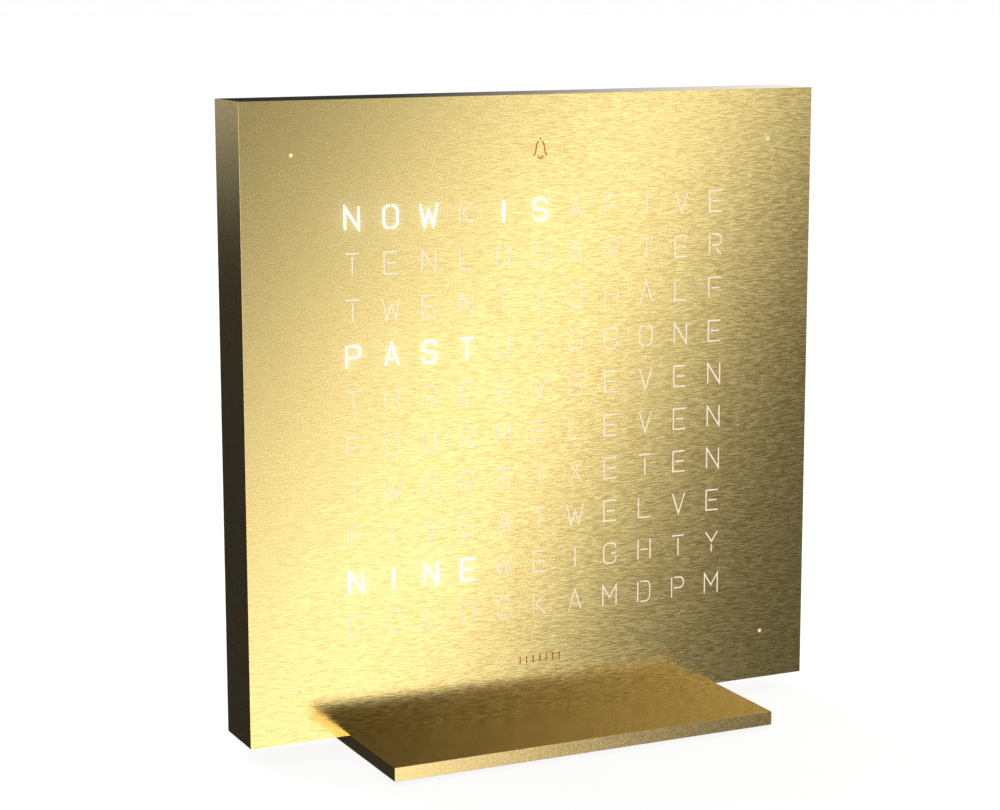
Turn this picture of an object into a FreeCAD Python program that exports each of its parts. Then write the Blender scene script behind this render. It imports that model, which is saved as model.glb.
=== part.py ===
import FreeCAD, Part
import math
import os

import Sketcher

# A square desk clock that spells the time in lit words.
#
# A five-sided pan of gold steel sheet is the case. Behind its front lie a diffuser, a
# grid of light wells and a board with one lamp per letter; a moulded cover with four
# push-buttons closes the back. The case stands on a flat base plate with rubber feet.
#
# Frame: +Z up, the front looks along -Y, +X is the viewer's right. The origin is on
# the ground, in the middle of the base plate. All sizes are in millimetres.

SIZES = [
    # The case and the base plate
    ("face_width", "135", "front face, side to side"),
    ("face_height", "135", "front face, bottom to top"),
    ("case_depth", "14.4", "case, front to back"),
    ("sheet_wall", "1.0", "sheet that the case is folded from"),
    ("edge_break", "0.25", "chamfer of the outer edges"),
    ("plate_width", "90", "base plate, side to side"),
    ("plate_overhang", "24.2", "base plate beyond the case, at the front and at the back"),
    ("plate_thick", "3.0", "base plate"),
    ("foot_height", "0.9", "rubber foot, ground to base plate"),
    ("foot_width", "10", "square rubber foot"),
    ("foot_inset", "7.5", "plate's edge to a foot's centre"),
    # What holds the case on the plate
    ("block_length", "72", "bar inside the case, side to side"),
    ("block_height", "6", "bar inside the case, bottom to top"),
    ("base_screw_diameter", "3.0", "screws through the plate"),
    ("base_screw_head", "5.6", "their countersunk heads"),
    ("base_screw_span", "56", "between the two"),
    ("base_screw_bite", "4.6", "length in the bar"),
    # The letters' rows and columns
    ("column_inset", "24.2", "face's sides to the outer columns' middle"),
    ("column_count", "11", "letters in a row"),
    ("top_row_drop", "24.45", "face's top to the first row's middle"),
    ("lowest_row_rise", "23.79", "face's bottom to the last row's middle"),
    ("row_count", "10", "rows"),
    ("dot_inset", "11.1", "face's edges to a minute dot"),
    ("dot_diameter", "0.9", "minute dot"),
    ("bell_drop", "11.5", "face's top to the alarm sign's middle"),
    ("slot_count", "7", "upright slots over the light sensor"),
    ("slot_pitch", "1.6", "between those slots"),
    ("slot_width", "0.5", "one slot, side to side"),
    ("slot_height", "1.75", "one slot, bottom to top"),
    # The stack behind the face
    ("diffuser_thick", "0.5", "milky sheet"),
    ("grid_depth", "5.0", "light wells"),
    ("well_wall", "0.9", "between two wells, at the face"),
    ("lamp_gap", "0.5", "round a lamp, at its well's narrow end"),
    ("dot_well", "4.4", "well behind a minute dot"),
    ("bell_well", "7.0", "well behind the alarm sign"),
    ("grid_rim", "3.4", "solid border round the wells"),
    ("frame_rib", "1.4", "outer rib of the grid"),
    ("window_height", "29", "openings in the grid's border at the sides"),
    ("led_board_thick", "1.6", "board of lamps"),
    ("led_width", "3.5", "lamp, side to side"),
    ("led_height", "2.8", "lamp, bottom to top"),
    ("led_thick", "0.8", "lamp"),
    ("board_gap", "1.1", "between the two large boards"),
    ("main_board_thick", "1.2", "main board"),
    ("cover_thick", "1.6", "rear cover"),
    ("fit_gap", "0.3", "round the sheets and boards inside the case"),
    ("cover_gap", "0.15", "round the rear cover"),
    ("pin_gap", "0.03", "round screws in their bores, and behind hooks"),
    # Snap hooks that hold the two large boards
    ("hook_width", "5", "hook, along the board's edge"),
    ("hook_wall", "1.0", "its leg"),
    ("hook_nose", "0.5", "overhang of its nose"),
    ("hook_tip", "0.8", "height of its nose"),
    ("hook_gap", "0.1", "round its leg in the board's notch"),
    ("grid_hook_pitch", "37", "between the lamp board's hooks, upwards"),
    ("main_hook_pitch", "24", "between the main board's hooks, upwards"),
    # Posts and screws of the case
    ("post_flats", "4.6", "hexagonal corner posts, across flats"),
    ("post_inset", "5.0", "face's edges to a post's centre"),
    ("cover_screw_diameter", "2.5", "screws of the rear cover"),
    ("cover_screw_head", "4.6", "their countersunk heads"),
    ("cover_screw_bite", "6.0", "length in a post"),
    # The rear cover
    ("lip_wall", "1.0", "stiffening lip round the cover"),
    ("lip_height", "1.6", "the same, forwards"),
    ("rib_wall", "1.0", "cross ribs"),
    ("rib_pitch_x", "36", "between the upright ribs"),
    ("rib_pitch_z", "20", "between the level ribs"),
    ("pad_width", "3.0", "square pads that the main board rests on"),
    ("pad_inset", "3.2", "board's edges to those pads' middle"),
    ("recess_depth", "0.4", "sunk field round the buttons and the socket"),
    ("recess_rim", "2.2", "field's edge to a button's or the socket's"),
    ("vent_count", "5", "sound slots over the sounder"),
    ("vent_pitch", "1.9", "between those slots"),
    ("vent_width", "0.9", "one sound slot, side to side"),
    ("vent_height", "7.0", "one sound slot, bottom to top"),
    # The main board and what is on it
    ("main_board_width", "74", "side to side"),
    ("main_board_height", "44", "bottom to top"),
    ("main_board_rise", "20", "case's bottom to the board's"),
    ("button_pitch", "15", "between push-buttons"),
    ("button_rise", "30", "case's bottom to the buttons' middle"),
    ("cap_diameter", "5.4", "button cap"),
    ("cap_edge", "0.2", "chamfer of its rim"),
    ("cap_flange", "7.0", "its square flange behind the cover"),
    ("cap_flange_thick", "0.4", "that flange"),
    ("cap_stand_out", "0.6", "cap beyond the cover"),
    ("cap_gap", "0.25", "round the cap in the cover"),
    ("button_travel", "0.3", "stroke of a button"),
    ("switch_width", "6.0", "square switch body"),
    ("switch_height", "1.6", "the same, from the board"),
    ("switch_floor", "0.3", "bottom of its well"),
    ("plunger_width", "2.6", "square switch plunger"),
    ("plunger_gap", "0.1", "round and under the plunger"),
    ("sounder_width", "9", "square sounder"),
    ("sounder_height", "1.9", "the same, from the board"),
    ("sounder_port", "2.2", "square mouth of the sounder"),
    ("sounder_shift", "24", "sounder left of the middle, seen from the front"),
    ("upper_rise", "49", "case's bottom to the middle of sounder and cell"),
    ("cell_diameter", "12.5", "backup cell"),
    ("cell_thick", "1.6", "the same"),
    ("cell_gap", "0.1", "round the cell in its holder"),
    ("cell_shift", "24", "cell right of the middle"),
    ("holder_wall", "0.9", "cell holder"),
    ("holder_floor", "0.3", "under the cell"),
    ("chip_width", "7", "square microcontroller"),
    ("chip_thick", "0.9", "the chips, from their boards"),
    ("chip_shift", "3.5", "microcontroller left of the middle"),
    ("driver_width", "5.6", "square lamp drivers"),
    ("driver_rise", "78", "case's bottom to the drivers' middle"),
    ("crystal_width", "3.5", "quartz can, side to side"),
    ("crystal_height", "1.8", "the same, bottom to top"),
    ("crystal_shift", "6.3", "quartz can right of the middle"),
    ("supply_rise", "39.2", "case's bottom to the supply parts' middle"),
    ("regulator_width", "2.8", "square supply chip"),
    ("coil_width", "4.2", "square supply coil"),
    ("coil_thick", "1.6", "the same, from the board"),
    ("coil_corner", "0.7", "its cut corners"),
    ("coil_shift", "7", "coil right of the middle"),
    ("capacitor_width", "1.1", "small capacitor, side to side"),
    ("capacitor_height", "2.1", "the same, bottom to top"),
    ("capacitor_count", "5", "small capacitors in a row"),
    ("capacitor_pitch", "2.8", "between them"),
    ("capacitor_shift", "15.4", "first one left of the middle"),
    ("link_width", "12.6", "connector between the boards, side to side"),
    ("link_height", "2.1", "the same, bottom to top"),
    ("link_wall", "1.0", "its socket's frame"),
    ("link_depth", "0.9", "that frame, from the main board"),
    ("link_drop", "4.2", "main board's top to the connector's middle"),
    # The supply socket's board
    ("bay_margin", "4", "bar's ends to the bay's"),
    ("inlet_gap", "1.2", "diffuser to the socket's board"),
    ("inlet_board_thick", "1.6", "socket's board"),
    ("groove_depth", "1.4", "grooves in the grid that the board's ends stand in"),
    ("usb_width", "8.94", "socket, side to side"),
    ("usb_height", "3.26", "socket, bottom to top"),
    ("usb_wall", "0.3", "its sheet metal"),
    ("usb_floor", "1.0", "its closed end"),
    ("usb_rise", "10.2", "case's bottom to the socket's middle"),
    ("usb_gap", "0.2", "round the socket in the cover"),
    ("tongue_width", "6.7", "contact tongue, side to side"),
    ("tongue_height", "0.7", "the same, bottom to top"),
    ("tongue_inset", "1.0", "socket's mouth to the tongue's end"),
    ("sensor_rise", "11.6", "case's bottom to the light sensor's middle"),
    ("sensor_width", "2.0", "square light sensor"),
    ("sensor_thick", "0.7", "the same"),
    ("flex_thick", "0.2", "flat lead between the boards"),
    ("flex_width", "8", "the same, side to side"),
    ("spring_thick", "0.2", "touch spring's leaf"),
    ("spring_width", "6", "the same, side to side"),
    ("spring_foot", "9.6", "case's top wall to the end of its foot"),
    ("spring_bend", "4.0", "case's top wall to its lower bend"),
]

SMALL = 1e-6  # lengths and volumes under this are nothing

DOC = FreeCAD.newDocument("word_clock")
SUB_PARTS = []

# Levels from front to back, as expressions on the sheet
FRONT = "(-dims.case_depth / 2)"
SHELL_INNER = f"({FRONT} + dims.sheet_wall)"
DIFFUSER_REAR = f"({SHELL_INNER} + dims.diffuser_thick)"
LED_FRONT = f"({DIFFUSER_REAR} + dims.grid_depth)"
LED_REAR = f"({LED_FRONT} + dims.led_board_thick)"
MAIN_FRONT = f"({LED_REAR} + dims.board_gap)"
MAIN_REAR = f"({MAIN_FRONT} + dims.main_board_thick)"
REAR = "(dims.case_depth / 2)"
COVER_INNER = f"({REAR} - dims.cover_thick)"
REAR_ROOM = f"({COVER_INNER} - {MAIN_REAR})"
INLET_FRONT = f"({DIFFUSER_REAR} + dims.inlet_gap)"
INLET_REAR = f"({INLET_FRONT} + dims.inlet_board_thick)"

# Widths and heights, the latter above the case's bottom
CASE_BASE = "(dims.foot_height + dims.plate_thick)"
PLATE_DEPTH = "(dims.case_depth + 2 * dims.plate_overhang)"
INNER_WIDTH = "(dims.face_width - 2 * dims.sheet_wall)"
INNER_HEIGHT = "(dims.face_height - 2 * dims.sheet_wall)"
SHEET_EDGE = f"({INNER_WIDTH} / 2 - dims.fit_gap)"
FACE_MIDDLE = "(dims.face_height / 2)"
COLUMN_SPAN = "(dims.face_width - 2 * dims.column_inset)"
COLUMN_PITCH = f"({COLUMN_SPAN} / (dims.column_count - 1))"
TOP_ROW = "(dims.face_height - dims.top_row_drop)"
ROW_SPAN = f"({TOP_ROW} - dims.lowest_row_rise)"
ROW_PITCH = f"({ROW_SPAN} / (dims.row_count - 1))"
BELL_LEVEL = "(dims.face_height - dims.bell_drop)"
BAY_TOP = f"(dims.lowest_row_rise - {ROW_PITCH} / 2 - dims.grid_rim)"
BAY_WIDTH = "(dims.block_length + 2 * dims.bay_margin)"
POST_SPAN_X = "(dims.face_width - 2 * dims.post_inset)"
POST_SPAN_Z = "(dims.face_height - 2 * dims.post_inset)"
POST_REACH = "(dims.post_flats / sqrt(3))"
DOT_SPAN_X = "(dims.face_width - 2 * dims.dot_inset)"
DOT_SPAN_Z = "(dims.face_height - 2 * dims.dot_inset)"
GRID_HOOKS_LOW = f"({FACE_MIDDLE} - dims.grid_hook_pitch)"
MAIN_MIDDLE = "(dims.main_board_rise + dims.main_board_height / 2)"
MAIN_HOOKS_LOW = f"({MAIN_MIDDLE} - dims.main_hook_pitch / 2)"
PAD_SPAN_X = "(dims.main_board_width - 2 * dims.pad_inset)"
PAD_SPAN_Z = "(dims.main_board_height - 2 * dims.pad_inset)"
LINK_LEVEL = "(dims.main_board_rise + dims.main_board_height - dims.link_drop)"
BUTTON_NAMES = ("hour", "minute", "brightness", "alarm")
LAST_BUTTON = len(BUTTON_NAMES) - 1


def add_sheet():
    """Put every driving size in the sheet under its own name."""
    sheet = DOC.addObject("Spreadsheet::Sheet", "dims")
    for row, (alias, value, meaning) in enumerate(SIZES, 1):
        sheet.set(f"A{row}", meaning)
        sheet.set(f"B{row}", value)
        sheet.setAlias(f"B{row}", alias)
    DOC.recompute()


def new_body(name, x="0", y="0", z="0"):
    """An empty sub-part that stands at the given place."""
    body = DOC.addObject("PartDesign::Body", name)
    body.Label = name
    for axis, place in zip("xyz", (x, y, z)):
        body.setExpression(f"Placement.Base.{axis}", place)
    SUB_PARTS.append(body)
    return body


def origin_of(body, role):
    """One of the body's own base planes or axes."""
    return next(item for item in body.Origin.OriginFeatures if item.Role == role)


def sketch_on(body, plane, right="0", up="0", level="0"):
    """A sketch on a base plane, with its own origin moved on and along that plane."""
    sketch = body.newObject("Sketcher::SketchObject", f"{body.Name}_sketch")
    sketch.AttachmentSupport = [(origin_of(body, plane), "")]
    sketch.MapMode = "FlatFace"
    for axis, place in zip("xyz", (right, up, level)):
        sketch.setExpression(f"AttachmentOffset.Base.{axis}", place)
    return sketch


def front_sketch(body, right="0", up="0", depth="0"):
    """A sketch seen from the front: pads and pockets run from it to the back."""
    return sketch_on(body, "XZ_Plane", right, up, f"-({depth})")


def add_datum(sketch, kind, *places):
    """A dimension whose value is the last of the places, an expression."""
    *where, size = places
    datum = sketch.addConstraint(Sketcher.Constraint(kind, *where, sketch.evalExpression(size)))
    sketch.setExpression(f"Constraints[{datum}]", size)


def polygon(sketch, corners):
    """A closed outline through corners given as pairs of expressions."""
    points = []
    for right, up in corners:
        points.append(FreeCAD.Vector(sketch.evalExpression(right), sketch.evalExpression(up), 0))
    first = sketch.GeometryCount
    count = len(points)
    for index in range(count):
        sketch.addGeometry(Part.LineSegment(points[index], points[(index + 1) % count]), False)
    for index in range(count):
        following = first + (index + 1) % count
        sketch.addConstraint(Sketcher.Constraint("Coincident", first + index, 2, following, 1))
    for index, (right, up) in enumerate(corners):
        add_datum(sketch, "DistanceX", -1, 1, first + index, 1, right)
        add_datum(sketch, "DistanceY", -1, 1, first + index, 1, up)


def rectangle(sketch, width, height):
    """A rectangle round the sketch's origin."""
    half_width = sketch.evalExpression(width) / 2
    half_height = sketch.evalExpression(height) / 2
    signs = ((-1, -1), (1, -1), (1, 1), (-1, 1))
    corners = [FreeCAD.Vector(sx * half_width, sy * half_height, 0) for sx, sy in signs]
    first = sketch.GeometryCount
    for index in range(4):
        sketch.addGeometry(Part.LineSegment(corners[index], corners[(index + 1) % 4]), False)
    for index in range(4):
        following = first + (index + 1) % 4
        sketch.addConstraint(Sketcher.Constraint("Coincident", first + index, 2, following, 1))
        direction = "Vertical" if index % 2 else "Horizontal"
        sketch.addConstraint(Sketcher.Constraint(direction, first + index))
    sketch.addConstraint(Sketcher.Constraint("Symmetric", first, 1, first + 2, 1, -1, 1))
    add_datum(sketch, "DistanceX", first, 1, first, 2, width)
    add_datum(sketch, "DistanceY", first + 1, 1, first + 1, 2, height)


def circle(sketch, diameter):
    """A circle round the sketch's origin."""
    radius = sketch.evalExpression(diameter) / 2
    centre = FreeCAD.Vector(0, 0, 0)
    ring = sketch.addGeometry(Part.Circle(centre, FreeCAD.Vector(0, 0, 1), radius), False)
    sketch.addConstraint(Sketcher.Constraint("Coincident", ring, 3, -1, 1))
    add_datum(sketch, "Diameter", ring, diameter)


def hexagon(sketch, flats):
    """A regular hexagon round the sketch's origin, with two corners on its level axis."""
    reach = f"(({flats}) / sqrt(3))"
    corners = [(reach, "0"), (f"{reach} / 2", f"({flats}) / 2")]
    corners += [(f"-{reach} / 2", f"({flats}) / 2"), (f"-{reach}", "0")]
    corners += [(f"-{reach} / 2", f"-({flats}) / 2"), (f"{reach} / 2", f"-({flats}) / 2")]
    polygon(sketch, corners)


def stadium(sketch, width, height):
    """A level slot with half-round ends round the sketch's origin."""
    radius = sketch.evalExpression(height) / 2
    reach = sketch.evalExpression(width) / 2 - radius
    up = FreeCAD.Vector(0, 0, 1)
    right_circle = Part.Circle(FreeCAD.Vector(reach, 0, 0), up, radius)
    left_circle = Part.Circle(FreeCAD.Vector(-reach, 0, 0), up, radius)
    quarter = math.pi / 2
    low_left, low_right = FreeCAD.Vector(-reach, -radius, 0), FreeCAD.Vector(reach, -radius, 0)
    top_left, top_right = FreeCAD.Vector(-reach, radius, 0), FreeCAD.Vector(reach, radius, 0)
    low = sketch.addGeometry(Part.LineSegment(low_left, low_right), False)
    right = sketch.addGeometry(Part.ArcOfCircle(right_circle, -quarter, quarter), False)
    top = sketch.addGeometry(Part.LineSegment(top_right, top_left), False)
    left = sketch.addGeometry(Part.ArcOfCircle(left_circle, quarter, 3 * quarter), False)
    sketch.addConstraint(Sketcher.Constraint("Tangent", low, 2, right, 1))
    sketch.addConstraint(Sketcher.Constraint("Tangent", right, 2, top, 1))
    sketch.addConstraint(Sketcher.Constraint("Tangent", top, 2, left, 1))
    sketch.addConstraint(Sketcher.Constraint("Tangent", left, 2, low, 1))
    sketch.addConstraint(Sketcher.Constraint("Horizontal", low))
    sketch.addConstraint(Sketcher.Constraint("Symmetric", left, 3, right, 3, -1, 1))
    add_datum(sketch, "Radius", right, f"({height}) / 2")
    add_datum(sketch, "DistanceX", left, 3, right, 3, f"({width}) - ({height})")


def pad(sketch, length, towards=None):
    """Grow a sketch: to the back or upwards, or both ways for a side-on sketch."""
    body = sketch.getParentGeoFeatureGroup()
    feature = body.newObject("PartDesign::Pad", f"{body.Name}_pad")
    feature.Profile = sketch
    feature.setExpression("Length", length)
    plane = sketch.AttachmentSupport[0][0].Role
    if towards == "both":
        feature.SideType = "Symmetric"
    else:
        feature.Reversed = (plane == "XZ_Plane") != (towards == "other")
    DOC.recompute()
    return feature


def cut_from(body, feature, before):
    """Make sure that a cut has taken something from its body."""
    DOC.recompute()
    if body.Shape.Volume > before - SMALL:
        raise RuntimeError(f"{feature.Name} cuts nothing")
    return feature


def pocket(sketch, length, taper=None, towards=None):
    """Cut a sketch into its body, to the back or upwards."""
    body = sketch.getParentGeoFeatureGroup()
    before = body.Shape.Volume
    feature = body.newObject("PartDesign::Pocket", f"{body.Name}_pocket")
    feature.Profile = sketch
    feature.setExpression("Length", length)
    plane = sketch.AttachmentSupport[0][0].Role
    feature.Reversed = (plane == "XY_Plane") != (towards == "other")
    if taper:
        feature.setExpression("TaperAngle", taper)
    return cut_from(body, feature, before)


def tapered_well(body, right, up, mouth, floor, depth):
    """Cut a four-sided well from the front that narrows from its mouth to its floor."""
    before = body.Shape.Volume
    well = body.newObject("PartDesign::SubtractiveWedge", f"{body.Name}_well")
    well.AttachmentSupport = [(origin_of(body, "XY_Plane"), "")]
    well.MapMode = "FlatFace"
    well.setExpression("AttachmentOffset.Base.x", right)
    well.setExpression("AttachmentOffset.Base.z", up)
    well.Ymin = 0
    well.setExpression("Ymax", depth)
    for side, wide, narrow in zip("XZ", mouth, floor):
        well.setExpression(f"{side}min", f"-({wide}) / 2")
        well.setExpression(f"{side}max", f"({wide}) / 2")
        well.setExpression(f"{side}2min", f"-({narrow}) / 2")
        well.setExpression(f"{side}2max", f"({narrow}) / 2")
    return cut_from(body, well, before)


def turn(sketch):
    """Turn a sketch once round its own upright axis."""
    body = sketch.getParentGeoFeatureGroup()
    feature = body.newObject("PartDesign::Revolution", f"{body.Name}_turned")
    feature.Profile = sketch
    feature.ReferenceAxis = (sketch, ["V_Axis"])
    feature.Angle = 360
    DOC.recompute()
    return feature


def repeat(feature, role, count, span, second_role=None, second_count="1", second_span="1"):
    """Spread copies of a feature evenly over a span, along one or two base axes."""
    body = feature.getParentGeoFeatureGroup()
    pattern = body.newObject("PartDesign::LinearPattern", f"{body.Name}_pattern")
    pattern.Originals = [feature]
    pattern.Direction = (origin_of(body, role), [""])
    pattern.Mode = "Extent"
    pattern.setExpression("Length", span)
    pattern.setExpression("Occurrences", count)
    if second_role:
        pattern.Direction2 = (origin_of(body, second_role), [""])
        pattern.Mode2 = "Extent"
        pattern.setExpression("Length2", second_span)
        pattern.setExpression("Occurrences2", second_count)
    body.Tip = pattern
    DOC.recompute()
    return pattern


def four_times(feature, span_x, span_z):
    """Copy a feature from the lower left corner to the other three."""
    return repeat(feature, "X_Axis", "2", span_x, "Z_Axis", "2", span_z)


def chamfer(feature, size, wanted):
    """Chamfer the edges whose middle point passes a test."""
    names = []
    for number, edge in enumerate(feature.Shape.Edges, 1):
        if wanted(edge.valueAt((edge.FirstParameter + edge.LastParameter) / 2)):
            names.append(f"Edge{number}")
    body = feature.getParentGeoFeatureGroup()
    broken = body.newObject("PartDesign::Chamfer", f"{body.Name}_edges")
    broken.Base = (feature, names)
    broken.setExpression("Size", size)
    body.Tip = broken
    DOC.recompute()
    return broken


def near(value, target):
    """True where a coordinate lies on a face at the target."""
    return abs(value - target) < SMALL


def size_of(alias):
    """A plain size from the sheet, for finding edges."""
    return float(DOC.getObject("dims").get(alias))


# The case


def front_shell():
    """Folded pan of gold steel: the face and four walls in one, open at the back."""
    body = new_body("front_shell", y=FRONT, z=CASE_BASE)
    outline = front_sketch(body, up=FACE_MIDDLE)
    rectangle(outline, "dims.face_width", "dims.face_height")
    block = pad(outline, "dims.case_depth")
    depth = size_of("case_depth")
    chamfer(block, "dims.edge_break", lambda middle: not near(middle.y, depth))
    room = front_sketch(body, up=FACE_MIDDLE, depth="dims.sheet_wall")
    rectangle(room, INNER_WIDTH, INNER_HEIGHT)
    pocket(room, "dims.case_depth - dims.sheet_wall")
    dot = front_sketch(body, f"-{DOT_SPAN_X} / 2", "dims.dot_inset")
    circle(dot, "dims.dot_diameter")
    four_times(pocket(dot, "dims.sheet_wall"), DOT_SPAN_X, DOT_SPAN_Z)
    slot_span = "(dims.slot_pitch * (dims.slot_count - 1))"
    slot = front_sketch(body, f"-{slot_span} / 2", "dims.sensor_rise")
    rectangle(slot, "dims.slot_width", "dims.slot_height")
    repeat(pocket(slot, "dims.sheet_wall"), "X_Axis", "dims.slot_count", slot_span)
    hole = sketch_on(body, "XY_Plane", "-dims.base_screw_span / 2", "dims.case_depth / 2")
    circle(hole, "dims.base_screw_diameter + 2 * dims.pin_gap")
    repeat(pocket(hole, "dims.sheet_wall"), "X_Axis", "2", "dims.base_screw_span")


def rear_cover():
    """Moulded cover that sinks into the case, with lip, ribs, pads, hooks and openings."""
    body = new_body("rear_cover", y=COVER_INNER, z=CASE_BASE)
    width = f"({INNER_WIDTH} - 2 * dims.cover_gap)"
    height = f"({INNER_HEIGHT} - 2 * dims.cover_gap)"
    panel = front_sketch(body, up=FACE_MIDDLE)
    rectangle(panel, width, height)
    pad(panel, "dims.cover_thick")
    lip = front_sketch(body, up=FACE_MIDDLE)
    rectangle(lip, width, height)
    rectangle(lip, f"{width} - 2 * dims.lip_wall", f"{height} - 2 * dims.lip_wall")
    pad(lip, "dims.lip_height", towards="other")
    cover_ribs(body)
    board_pads(body)
    sunk_fields(body)
    for place in range(len(BUTTON_NAMES)):
        opening = front_sketch(body, button_place(place), "dims.button_rise")
        circle(opening, "dims.cap_diameter + 2 * dims.cap_gap")
        pocket(opening, "dims.cover_thick")
    slot = front_sketch(body, up="dims.usb_rise")
    stadium(slot, "dims.usb_width + 2 * dims.usb_gap", "dims.usb_height + 2 * dims.usb_gap")
    pocket(slot, "dims.cover_thick")
    span = "(dims.vent_pitch * (dims.vent_count - 1))"
    vent = front_sketch(body, f"-dims.sounder_shift - {span} / 2", "dims.upper_rise")
    rectangle(vent, "dims.vent_width", "dims.vent_height")
    repeat(pocket(vent, "dims.cover_thick"), "X_Axis", "dims.vent_count", span)
    cover_screw_holes(body)


def sunk_fields(body):
    """Shallow fields outside, round the row of buttons and round the socket."""
    floor = "dims.cover_thick - dims.recess_depth"
    high = "dims.cap_diameter + 2 * dims.recess_rim"
    field = front_sketch(body, up="dims.button_rise", depth=floor)
    rectangle(field, f"{LAST_BUTTON} * dims.button_pitch + {high}", high)
    pocket(field, "dims.recess_depth")
    high = "dims.usb_height + 2 * dims.recess_rim"
    field = front_sketch(body, up="dims.usb_rise", depth=floor)
    rectangle(field, "dims.usb_width + 2 * dims.recess_rim", high)
    pocket(field, "dims.recess_depth")


def cover_ribs(body):
    """Upright and level ribs over the cover's upper half, above the main board."""
    low = "(dims.main_board_rise + dims.main_board_height + 3 * dims.rib_wall)"
    top = "(dims.face_height - dims.post_inset - dims.post_flats)"
    upright = front_sketch(body, "-dims.rib_pitch_x", f"({low} + {top}) / 2")
    rectangle(upright, "dims.rib_wall", f"{top} - {low}")
    first = pad(upright, "dims.lip_height", towards="other")
    repeat(first, "X_Axis", "3", "2 * dims.rib_pitch_x")
    level = front_sketch(body, up=f"({low} + {top}) / 2 - dims.rib_pitch_z")
    rectangle(level, f"{POST_SPAN_X} - dims.post_flats - 4 * dims.rib_wall", "dims.rib_wall")
    first = pad(level, "dims.lip_height", towards="other")
    repeat(first, "Z_Axis", "3", "2 * dims.rib_pitch_z")


def board_pads(body):
    """Four square pads that the main board rests on, and four hooks that hold it."""
    post = front_sketch(body, f"-{PAD_SPAN_X} / 2", f"{MAIN_MIDDLE} - {PAD_SPAN_Z} / 2")
    rectangle(post, "dims.pad_width", "dims.pad_width")
    four_times(pad(post, REAR_ROOM, towards="other"), PAD_SPAN_X, PAD_SPAN_Z)
    grip = f"({REAR_ROOM} + dims.main_board_thick + dims.pin_gap)"
    edge = "(dims.main_board_width / 2)"
    snap_hooks(body, edge, "0", grip, -1, MAIN_HOOKS_LOW, "2", "dims.main_hook_pitch")


def snap_hooks(body, edge, root, grip, way, low, count, span):
    """Hooks in the notches of a board's left and right edges, with noses inwards.

    They rise from the root past the board, over the grip, to the back (way 1) or to the
    front (way -1). The lowest one's middle is at the height low.
    """
    leg = f"({edge} - dims.hook_wall)"
    under = f"({root} + {way} * {grip})"
    end = f"({root} + {way} * ({grip} + dims.hook_tip))"
    outline = [(edge, root), (leg, root), (leg, under), (f"({leg} - dims.hook_nose)", under)]
    outline += [(leg, end), (edge, end)]
    for side in (-1, 1):
        profile = sketch_on(body, "XY_Plane", "0", "0", f"{low} - dims.hook_width / 2")
        polygon(profile, [(f"{side} * {across}", along) for across, along in outline])
        repeat(pad(profile, "dims.hook_width"), "Z_Axis", count, span)


def hook_notches(body, edge, thick, low, count, span):
    """Notches in a board's left and right edges for the hooks' legs."""
    notch = front_sketch(body, f"-{edge}", low)
    rectangle(notch, "2 * (dims.hook_wall + dims.hook_gap)", "dims.hook_width + 2 * dims.hook_gap")
    repeat(pocket(notch, thick), "X_Axis", "2", f"2 * {edge}", "Z_Axis", count, span)


def cover_screw_holes(body):
    """A countersunk hole in each corner, in front of its post."""
    hole = front_sketch(body, f"-{POST_SPAN_X} / 2", "dims.post_inset")
    circle(hole, "dims.cover_screw_diameter + 2 * dims.pin_gap")
    four_times(pocket(hole, "dims.cover_thick"), POST_SPAN_X, POST_SPAN_Z)
    sink = front_sketch(body, f"-{POST_SPAN_X} / 2", "dims.post_inset", "dims.cover_thick")
    circle(sink, "dims.cover_screw_head + 2 * dims.pin_gap")
    depth = "(dims.cover_screw_head - dims.cover_screw_diameter) / 2"
    cut = pocket(sink, depth, taper="-45", towards="other")
    four_times(cut, POST_SPAN_X, POST_SPAN_Z)


def corner_posts():
    """Tapped hexagonal posts welded inside the case's corners, for the cover's screws."""
    body = new_body("corner_posts", y=SHELL_INNER, z=CASE_BASE)
    post = front_sketch(body, f"-{POST_SPAN_X} / 2", "dims.post_inset")
    hexagon(post, "dims.post_flats")
    length = f"({COVER_INNER} - {SHELL_INNER})"
    four_times(pad(post, length), POST_SPAN_X, POST_SPAN_Z)
    depth = f"({length} - dims.cover_screw_bite - dims.fit_gap)"
    bore = front_sketch(body, f"-{POST_SPAN_X} / 2", "dims.post_inset", depth)
    circle(bore, "dims.cover_screw_diameter + 2 * dims.pin_gap")
    cut = pocket(bore, "dims.cover_screw_bite + dims.fit_gap")
    four_times(cut, POST_SPAN_X, POST_SPAN_Z)


def depth_sketch(body, right, up):
    """A sketch whose own up axis runs to the back, for what is turned on that axis."""
    return sketch_on(body, "XY_Plane", right, "0", up)


def sunk_screw(sketch, diameter, head, grip, way):
    """Half the outline of a countersunk screw; its point lies along the way, 1 or -1."""
    shank = f"{diameter} / 2"
    steps = [("0", "0"), (f"{head} / 2", "0"), (shank, f"({head} - {diameter}) / 2")]
    steps += [(shank, grip), ("0", grip)]
    polygon(sketch, [(across, f"({along}) * {way}") for across, along in steps])


def cover_screws():
    """Four countersunk screws through the rear cover into the posts."""
    body = new_body("cover_screws", y=REAR, z=CASE_BASE)
    profile = depth_sketch(body, f"-{POST_SPAN_X} / 2", "dims.post_inset")
    grip = "(dims.cover_thick + dims.cover_screw_bite)"
    sunk_screw(profile, "dims.cover_screw_diameter", "dims.cover_screw_head", grip, "-1")
    four_times(turn(profile), POST_SPAN_X, POST_SPAN_Z)


# The stack behind the face


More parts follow.
